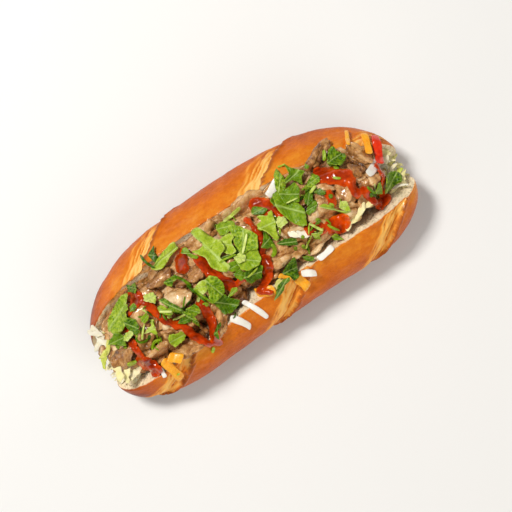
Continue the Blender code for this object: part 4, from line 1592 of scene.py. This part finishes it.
# %% The pieces of leaf
# Each piece: kind, tone, teeth in mm, then x and y in mm of each corner in turn, from its stalk round.
# Later pieces lie over earlier ones.
LEAVES = (
    ("mint", 0.60, 0.3, -107, 6.5, -104, 12, -97.5, 16.5, -92, 19, -88, 21, -83, 20, -85.5, 17,
     -88.5, 13, -90.5, 8.5, -91, 6, -95, 3, -98.5, 1.5, -104, 2.5),
    ("mint", 0.34, 0.2, -94, 5, -90, 6, -86.5, 2.5, -87, -2.5, -90, -6, -93.5, -4.5, -94, 0.5),
    ("coriander", 0.48, 0.2, -112, -2, -109, 0, -104.5, 2, -101, 0.5, -100, -2.5, -101, -8.5,
     -104, -7, -107, -4.5),
    ("coriander", 0.86, 0.6, -100.5, -5, -98.5, -2.5, -96, -1.5, -93, -2, -92, -4.5, -94.5, -6, -98.5, -6.5),
    ("mint", 0.28, 0.5, -81, 24, -80.5, 26, -78, 23.5, -74.5, 24, -75, 20, -77, 17.5, -81.5, 21),
    ("coriander", 0.46, 0.3, -86.5, 9, -85, 12, -81.5, 12.5, -81, 9.5, -84, 8),
    ("coriander", 0.62, 0.2, -90, 13, -88, 15, -86, 14, -87, 11, -89.5, 11),
    ("coriander", 0.62, 0.2, -83.5, -1, -82.5, 1.5, -78, 2.5, -77.5, 0, -79.5, -2, -82.5, -2.5),
    ("coriander", 0.76, 0.4, -86, -8.5, -82.5, -7, -79.5, -6.5, -77.5, -4, -78, -8, -79, -13, -80.5, -12.5,
     -82.5, -9.5),
    ("coriander", 0.88, 0.8, -74.5, 10, -73.5, 13, -71, 13, -67, 12, -66.5, 8.5, -69.5, 5, -72, 7.5),
    ("coriander", 0.66, 0.6, -75.5, -22.5, -74.5, -19.5, -72.5, -18, -68, -20.5, -65, -20, -64.5, -24,
     -66.5, -26, -70, -26.5, -73.5, -27, -75, -25),
    ("coriander", 0.64, 0.2, -69.5, 1.5, -66.5, 1.5, -63, -4.5, -63.5, -7.5, -66.5, -6, -70, -2),
    ("mint", 0.38, 0.4, -66, 5, -62, 4, -60.5, 0.5, -58, -4, -56, -9, -56.5, -11.5, -59, -9, -62.5, -5.5,
     -64, 0.5),
    ("coriander", 0.36, 0.1, -63.5, -14.5, -60.5, -13, -56, -13.5, -56, -18, -60.5, -17),
    ("mint", 0.46, 0.3, -54, -9.5, -47.5, -9.5, -46.5, -13, -47.5, -16, -51.5, -16.5, -55.5, -13.5),
    ("mint", 0.44, 0.2, -57.5, -10, -54.5, -11, -52.5, -15.5, -52, -20, -53.5, -24, -55, -19.5),
    ("mint", 0.42, 0.4, -57.5, 13.5, -54.5, 14, -48.5, 14, -48, 11, -52.5, 10.5, -54, 8.5, -56.5, 10.5),
    # The next piece's low tone is painted shade: its underside shows and lies in shadow.
    ("coriander", 0.26, 0.0, -57.5, 35, -51, 38, -53, 34.5, -52.5, 30.5, -54.5, 27, -56.5, 29.5),
    ("coriander", 0.74, 0.0, -59.5, 26.5, -56, 27, -52.5, 29.5, -46.5, 31.5, -41.5, 33, -38.5, 33, -38.5, 28,
     -45.5, 26.5, -50, 23.5, -54, 22.5, -57.5, 24),
    ("mint", 0.30, 0.3, -48, -33.5, -42.5, -29.5, -40, -29, -40.5, -31, -44.5, -32, -45.5, -36, -46.5, -38.5),
    ("coriander", 0.50, 0.3, -37.5, 24, -34.5, 26, -32.5, 25, -32, 20, -29, 16.5, -30.5, 15.5, -33.5, 18,
     -35, 22),
    ("coriander", 0.82, 0.2, -42.5, -0.5, -37, 1, -33, 0.5, -33.5, -4, -36, -6, -39.5, -7, -41, -3.5),
    ("coriander", 0.36, 0.7, -36.5, -15, -28, -14, -26, -19, -21.5, -23, -24, -25.5, -28, -26.5, -31, -27,
     -35, -25, -35.5, -20),
    ("mint", 0.50, 0.2, -33, 0, -29, 1, -25.5, -3, -24.5, -8, -27, -13, -31, -14.5, -36, -15.5, -37, -12,
     -35, -7),
    ("coriander", 0.62, 0.1, -26, -17, -21, -14, -18, -15, -19, -17, -24, -18),
    ("coriander", 0.30, 0.0, -17.5, 7.5, -9, 6, -2.5, 8, -2.5, 4.5, -10, 3.5, -14, 4.5),
    ("coriander", 0.50, 0.3, -17, -2, -14, 1.5, -9.5, 0.5, -9, -4, -11, -6, -15, -4.5),
    ("coriander", 0.42, 0.3, -15, -6, -10, -6, -8, -9.5, -10, -12.5, -13.5, -12, -15, -9),
    ("coriander", 0.36, 0.3, -10.5, -12, -8, -9.5, 2, -10, 3.5, -12.5, 1, -15, -1, -18, -5, -17.5,
     -8.5, -18, -9.5, -15),
    ("coriander", 0.64, 0.0, -9, 2, -2, 1.5, 3, 1, 6, -0.5, 5.5, -7, 2, -9.5, -6, -9, -9, -6, -8.5, -2),
    ("coriander", 0.90, 0.2, -9, 3, -4, 3.5, -2, 0, -4, -3, -8, -2),
    ("coriander", 0.60, 0.0, -9, 25, -7, 27.5, -1, 26, 3, 24, 2, 19.5, -2, 20, -5, 19, -8.5, 20),
    ("mint", 0.56, 0.1, -3, 2, -3.5, 9.5, -2, 17, -1, 22.5, 4, 19, 6, 16, 9, 12, 11, 7.5, 7, 0, 2, 2.5),
    ("coriander", 0.76, 0.3, -13.5, 17, -9, 18, -3.5, 18, -2, 14.5, -5.5, 12.5, -5.5, 6, -9, 5.5,
     -11.5, 8, -13.5, 11),
    ("coriander", 0.74, 0.2, -25, 31.5, -19, 32, -17, 26.5, -14, 20, -11, 17, -12, 11, -17.5, 9, -17, 5,
     -14, 1, -18.5, -1.5, -22, 1.5, -25, 6.5, -24.5, 13, -27.5, 17, -30.5, 21, -26, 19.5, -21.5, 20.5,
     -23.5, 26.5),
    ("coriander", 0.40, 0.1, 16.5, 21, 18.5, 24.5, 20.5, 24.5, 24, 21.5, 26.5, 18.5, 22, 17, 20, 18.5),
    ("coriander", 0.38, 0.1, 10, -1, 13, 1.5, 16.5, 6.5, 18, 4.5, 18, -4, 13, -3.5),
    ("coriander", 0.72, 0.5, 15, 10, 15.5, 13, 19.5, 13.5, 18, 17.5, 21, 16.5, 24, 14, 26, 16, 28.5, 16,
     27, 12, 26.5, 8, 24, 4, 23, -1.5, 20.5, -2, 19.5, 3, 18, 7),
    ("coriander", 0.92, 0.5, 26.5, 5, 27, 8, 30, 10.5, 33.5, 8, 33.5, 4, 28, 3),
    ("coriander", 0.26, 0.0, 20, -4.5, 26, -4.5, 29, -6, 32, -8.5, 31, -12, 26, -9.5, 23, -7.5),
    ("mint", 0.26, 0.2, 13, -23.5, 16, -21.5, 19, -20.5, 22, -19, 25, -18.5, 24, -23, 22, -27, 21, -30.5,
     17, -31, 16, -27),
    ("coriander", 0.38, 0.1, -1, -35.5, 3, -32, 6, -28.5, 11, -27.5, 14.5, -28, 14, -30, 9.5, -30.5,
     8, -33, 4, -34.5),
    ("coriander", 0.42, 0.2, 30, -21, 33, -22, 36, -25, 36, -27, 32, -25.5, 30, -23.5),
    ("coriander", 0.44, 0.1, 32, 18, 31.5, 22, 36, 25, 39, 24, 38.5, 20, 36, 18),
    ("mint", 0.56, 0.2, 38.5, 23.5, 39.5, 28.5, 42.5, 35, 46.5, 38.5, 47, 32.5, 47.5, 27, 42.5, 23.5),
    ("coriander", 0.48, 0.2, 46, 27, 47, 29, 52, 30.5, 52.5, 37.5, 55, 33, 61, 27, 57, 25, 55, 20, 52, 26.5),
    ("coriander", 0.54, 0.4, 33, 17, 35, 24, 39, 24, 38.5, 18, 41, 13.5, 43.5, 14, 46, 10, 47, 5, 46, 3,
     43, -3, 40, -2.5, 37, 1, 34.5, 7, 33, 12),
    ("coriander", 0.46, 0.1, 39, 22.5, 43, 23, 51, 23.5, 51.5, 18.5, 49, 15, 47, 11.5, 43.5, 14.5, 39, 15.5),
    ("coriander", 0.40, 0.4, 47.5, 3.5, 51.5, 6, 56, 6.5, 56.5, 4, 53.5, 1, 48, 0.5),
    ("coriander", 0.36, 0.1, 50.5, 6.5, 51.5, 12.5, 56.5, 14, 57, 10.5, 55, 7.5),
    ("coriander", 0.34, 0.1, 59, 11.5, 63.5, 11.5, 65, 8, 64, 6.5, 61, 8),
    ("mint", 0.50, 0.3, 57, 17.5, 60, 20.5, 65, 21.5, 67, 18.5, 66, 15.5, 62, 15.5, 59, 15),
    ("coriander", 0.42, 0.1, 62, 28.5, 64, 31, 65.5, 28, 63.5, 27),
    ("mint", 0.38, 0.6, 77, 23.5, 80.5, 28, 83, 30.5, 86.5, 31, 87, 27, 91, 22, 88.5, 19, 84.5, 17.5,
     81, 19.5),
    ("mint", 0.36, 0.3, 100.5, -14.5, 103, -10, 106, -5.5, 110.5, -4, 114.5, -5.5, 117, -10, 114.5, -13,
     108, -13.5, 104, -14),
    ("coriander", 0.50, 0.1, 93.5, -11, 97.5, -7, 99.5, -6.5, 99, -10, 98, -13.5, 95, -12),
    ("coriander", 0.62, 0.0, 57, 1, 60.5, 1, 63.5, -3, 66.5, -8.5, 72, -12, 69, -11, 65, -7, 60, -2.5),
    ("coriander", 0.84, 0.1, 67.5, -6, 70, -3, 73.5, -5, 73.5, -8.5, 72.5, -12, 69.5, -9.5),
    ("coriander", 0.54, 0.1, 53.5, -19.5, 57.5, -20, 59.5, -25.5, 54.5, -23),
    ("coriander", 0.74, 0.2, 42.5, -11, 47, -13, 51.5, -11.5, 49, -14.5, 43.5, -14.5),
    ("coriander", 0.38, 0.1, 48, -7, 51.5, -5.5, 53, -7, 50, -8),
)


def add_leaf(batch, random, tone, teeth, pointed, corners, rings=8):
    """Fills one outline with rings, folds and ruffles it, lays it on the map and adds it to a batch."""
    line, middle = leaf_outline(corners, teeth, pointed)
    line, middle = (middle + (line - middle) * LEAF_GROWTH) * SPREAD, middle * SPREAD
    r = np.linspace(0, 1, rings)[:, None, None]
    plan = middle + r * (line - middle)
    rib = middle - np.array(corners[:2]) * SPREAD * MM
    size = np.hypot(*np.ptp(line, axis=0))
    rib = rib / np.hypot(*rib)
    along = (plan - middle) @ rib
    across = (plan - middle) @ np.array([-rib[1], rib[0]])
    phase = random.uniform(0, 2 * math.pi, 2)
    turn = np.arctan2(across, along)
    up = random.uniform(0.0, 0.25) * np.abs(across)
    ruffle = np.sin(3 * turn + phase[0]) + 0.6 * np.sin(7 * turn + phase[1])
    up = up + 0.045 * size * r[..., 0] ** 3 * ruffle
    up = up - random.uniform(-0.5, 1.0) * along**2 / (size * 1.4)
    px, py = plan[..., 0], plan[..., 1]
    fine, wide = ground_map(1, 6), ground_map(3, 40)
    base = np.maximum(sample(wide, px, py), sample(fine, px, py))
    rise = np.where(base > PRESS_FROM, PRESS_SHARE, 1.0) * (up - min(0.0, up.min()) * 0.6)
    sheet = together(px, py, np.minimum(base + rise + LEAF_LIFT, HIGHEST))
    points, quads = thicken_disc(sheet, LEAF_DEPTH)
    away = np.abs(across)
    uv = together((along - 0.7 * away) / VEIN_PITCH, away / (0.5 * size)).reshape(-1, 2)
    # Painted highlight: the outer ring of each piece is lighter in tone, along its edge.
    shade = (tone + 0.10 * (r[..., 0] > 0.9) * np.ones(along.shape)).ravel()
    batch.add(points, quads, np.tile(uv, (2, 1)), np.tile(shade, 2))
    stamp(HEIGHTS, points)


# %% [markdown]
# Stems and cut ribbons lie over the leaves. A ribbon's direction turns steadily along it, so it
# is an arc, and it narrows at both ends.

# %% Stems and thin strips
# Each: place x and y, heading in degrees, length and width in mm, tone, and bend in degrees.
STRIPS = (
    (-86.6, -7, -130, 10, 1.2, 0.9, 10),
    (-90.5, -11.5, -40, 10, 1.4, 0.35, 150),
    (-84, -17.8, 20, 9, 1.7, 0.62, -110),
    (-104.8, -21, -10, 6, 2.4, 0.70, 10),
    (-66.3, -3.5, -31, 8, 1.3, 1.0, 0),
    (-61, -11.5, -8, 9, 1.3, 0.9, 10),
    (-46, 8, -62, 13, 1.8, 0.40, -30),
    (-43, -4, -72, 16, 1.4, 0.32, 0),
    (-60.8, 31.5, -72, 13, 1.6, 0.30, 40),
    (-40, -8, -68, 16, 1.2, 0.55, 8),
    (1.8, 6.8, 46, 13, 1.5, 1.0, 0),
    (4.9, 28, 8, 14, 2.3, 0.90, 6),
    (15.7, -7, 60, 9, 2.6, 0.60, 110),
    (43.5, 14.5, -8, 8, 0.8, 0.95, 0),
    (78.2, 29, 60, 7, 2.2, 0.68, 10),
    (38.3, -14.8, 37, 9, 1.0, 0.80, 4),
    (47.5, -8.8, -60, 10, 1.5, 0.86, 6),
    (57.5, -15.5, -55, 9, 1.6, 0.62, 30),
    (76.3, 11.4, -40, 5, 1.6, 0.62, 30),
    (91.6, -7.7, -68, 7, 1.6, 0.42, 20),
    (50.5, 38.5, -12, 5, 1.0, 0.72, 10),
    (59, 13.5, 20, 6, 1.8, 0.88, 0),
    (-13, 4.8, -6, 12, 1.2, 0.62, -15),
    (-4, -12.3, 12, 9, 1.0, 0.80, 10),
    (-83, -44, 0, 2, 1, 0.8, 0),
    (-54.5, -42.5, 40, 4, 1.8, 0.72, 30),
)


def lay_strip(batch, random, row, ground, shape, lift):
    """Lays one strip along the ground and adds it to a batch."""
    x, y, heading, length, width, tone, bend = row
    a, b, uv = strip_leaf(length * MM, width * MM, math.radians(bend), shape)
    px, py = turned(a, b, math.radians(heading), x * SPREAD * MM, y * SPREAD * MM)
    up = random.uniform(0.0, 0.04) * length * MM * (a / a.max()) ** 2
    middle = together(px, py, np.minimum(sample(ground, px, py) + up + lift, HIGHEST))
    stamp(HEIGHTS, batch.add_sheet(middle, min(width * 0.5, 0.8) * MM, uv, tone))


def lay_herbs():
    """The pieces of leaf, then the stems that lie over them, in one batch for each kind."""
    random = np.random.default_rng(3)
    batches = {"coriander": Batch(), "mint": Batch(), "stems": Batch()}
    for kind, tone, teeth, *corners in LEAVES:
        add_leaf(batches[kind], random, tone, teeth, kind == "mint", corners)
    for row in STRIPS:
        lay_strip(batches["stems"], random, row, ground_map(1, 8), (30, 7), LEAF_LIFT)
    return batches


# %% [markdown]
# ## Chopped bits
# Round the large pieces the knife leaves small ones. They are scattered by seeded chance round a few
# middles, and each has only a few dozen faces, because there are so many.

# %% Scatter the bits
# Each cluster: place x and y, how far it spreads and how many bits, in mm, and their tone.
CLUSTERS = (
    (-78, 0, 9, 10, 0.6), (-60, -8, 9, 10, 0.4), (-40, -6, 8, 8, 0.6), (-12, 10, 12, 10, 0.5),
    (-4, -4, 9, 8, 0.5), (20, 6, 9, 10, 0.6), (57, 13, 8, 18, 0.4), (44, -8, 8, 8, 0.6),
    (70, 2, 9, 4, 0.5), (95, -10, 6, 5, 0.45), (-97, -5, 8, 8, 0.5), (-30, -24, 6, 3, 0.5),
    (80, 22, 8, 5, 0.5), (0, 22, 8, 6, 0.5), (28, -14, 8, 3, 0.5), (-84, -18, 6, 4, 0.55),
)


def scatter_bits(ground):
    """Small chips of leaf and thin stems round each cluster's middle."""
    random = np.random.default_rng(8)
    batch = Batch()
    for x, y, spread, count, tone in CLUSTERS:
        for _ in range(count):
            px, py = x + random.normal(0, spread / 2), y + random.normal(0, spread / 2)
            shade = np.clip(tone + random.normal(0, 0.22), 0.05, 1.0)
            heading = random.uniform(0, 360)
            if random.random() < 0.5:
                size = random.uniform(3, 8), random.uniform(0.6, 1.3)
                row = (px, py, heading, *size, shade, random.normal(0, 40))
                lay_strip(batch, random, row, ground, (7, 3), BIT_LIFT)
            else:
                size = random.uniform(2.5, 6.0), random.uniform(2.0, 4.0)
                add_chip(batch, random, (px, py, heading, *size, shade), ground)
    return batch


def add_chip(batch, random, row, ground):
    """One small chip with few faces, laid on the ground and tilted a little."""
    x, y, heading, length, width, tone = row
    a, b, uv = oval_leaf(length * MM, width * MM, 0.3)
    a, b = chop(random, a, b, length * MM)
    px, py = turned(a, b, math.radians(heading), x * SPREAD * MM, y * SPREAD * MM)
    up = random.uniform(-0.25, 0.25) * a + random.uniform(-0.3, 0.4) * np.abs(b)
    middle = together(px, py, sample(ground, px, py) + up + BIT_LIFT)
    stamp(HEIGHTS, batch.add_sheet(middle, LEAF_DEPTH, uv, tone))


bits = scatter_bits(ground_map(1, 4))
finish_piece(bits.build("chopped_herbs", leaf_finish), "herbs")
herbs = lay_herbs()
for kind, name, material in (
    ("coriander", "coriander_leaves", leaf_finish),
    ("mint", "mint_leaves", mint_finish),
    ("stems", "herb_stems", leaf_finish),
):
    piece = herbs[kind].build(name, material)
    weld(piece.data)
    finish_piece(piece, "herbs")
print("highest point in mm:", round(HEIGHTS.max() / MM, 1))

# %% [markdown]
# ## Sizes
# The box round the finished sandwich is printed next to the box of the imported solids.

# %% Print both boxes
visual_low, visual_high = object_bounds()
boxes = {"cad": [list(cad_low), list(cad_high)], "visual": [list(visual_low), list(visual_high)]}
for name, pair in boxes.items():
    print(name, "box in mm:", [[round(v / MM, 1) for v in corner] for corner in pair])
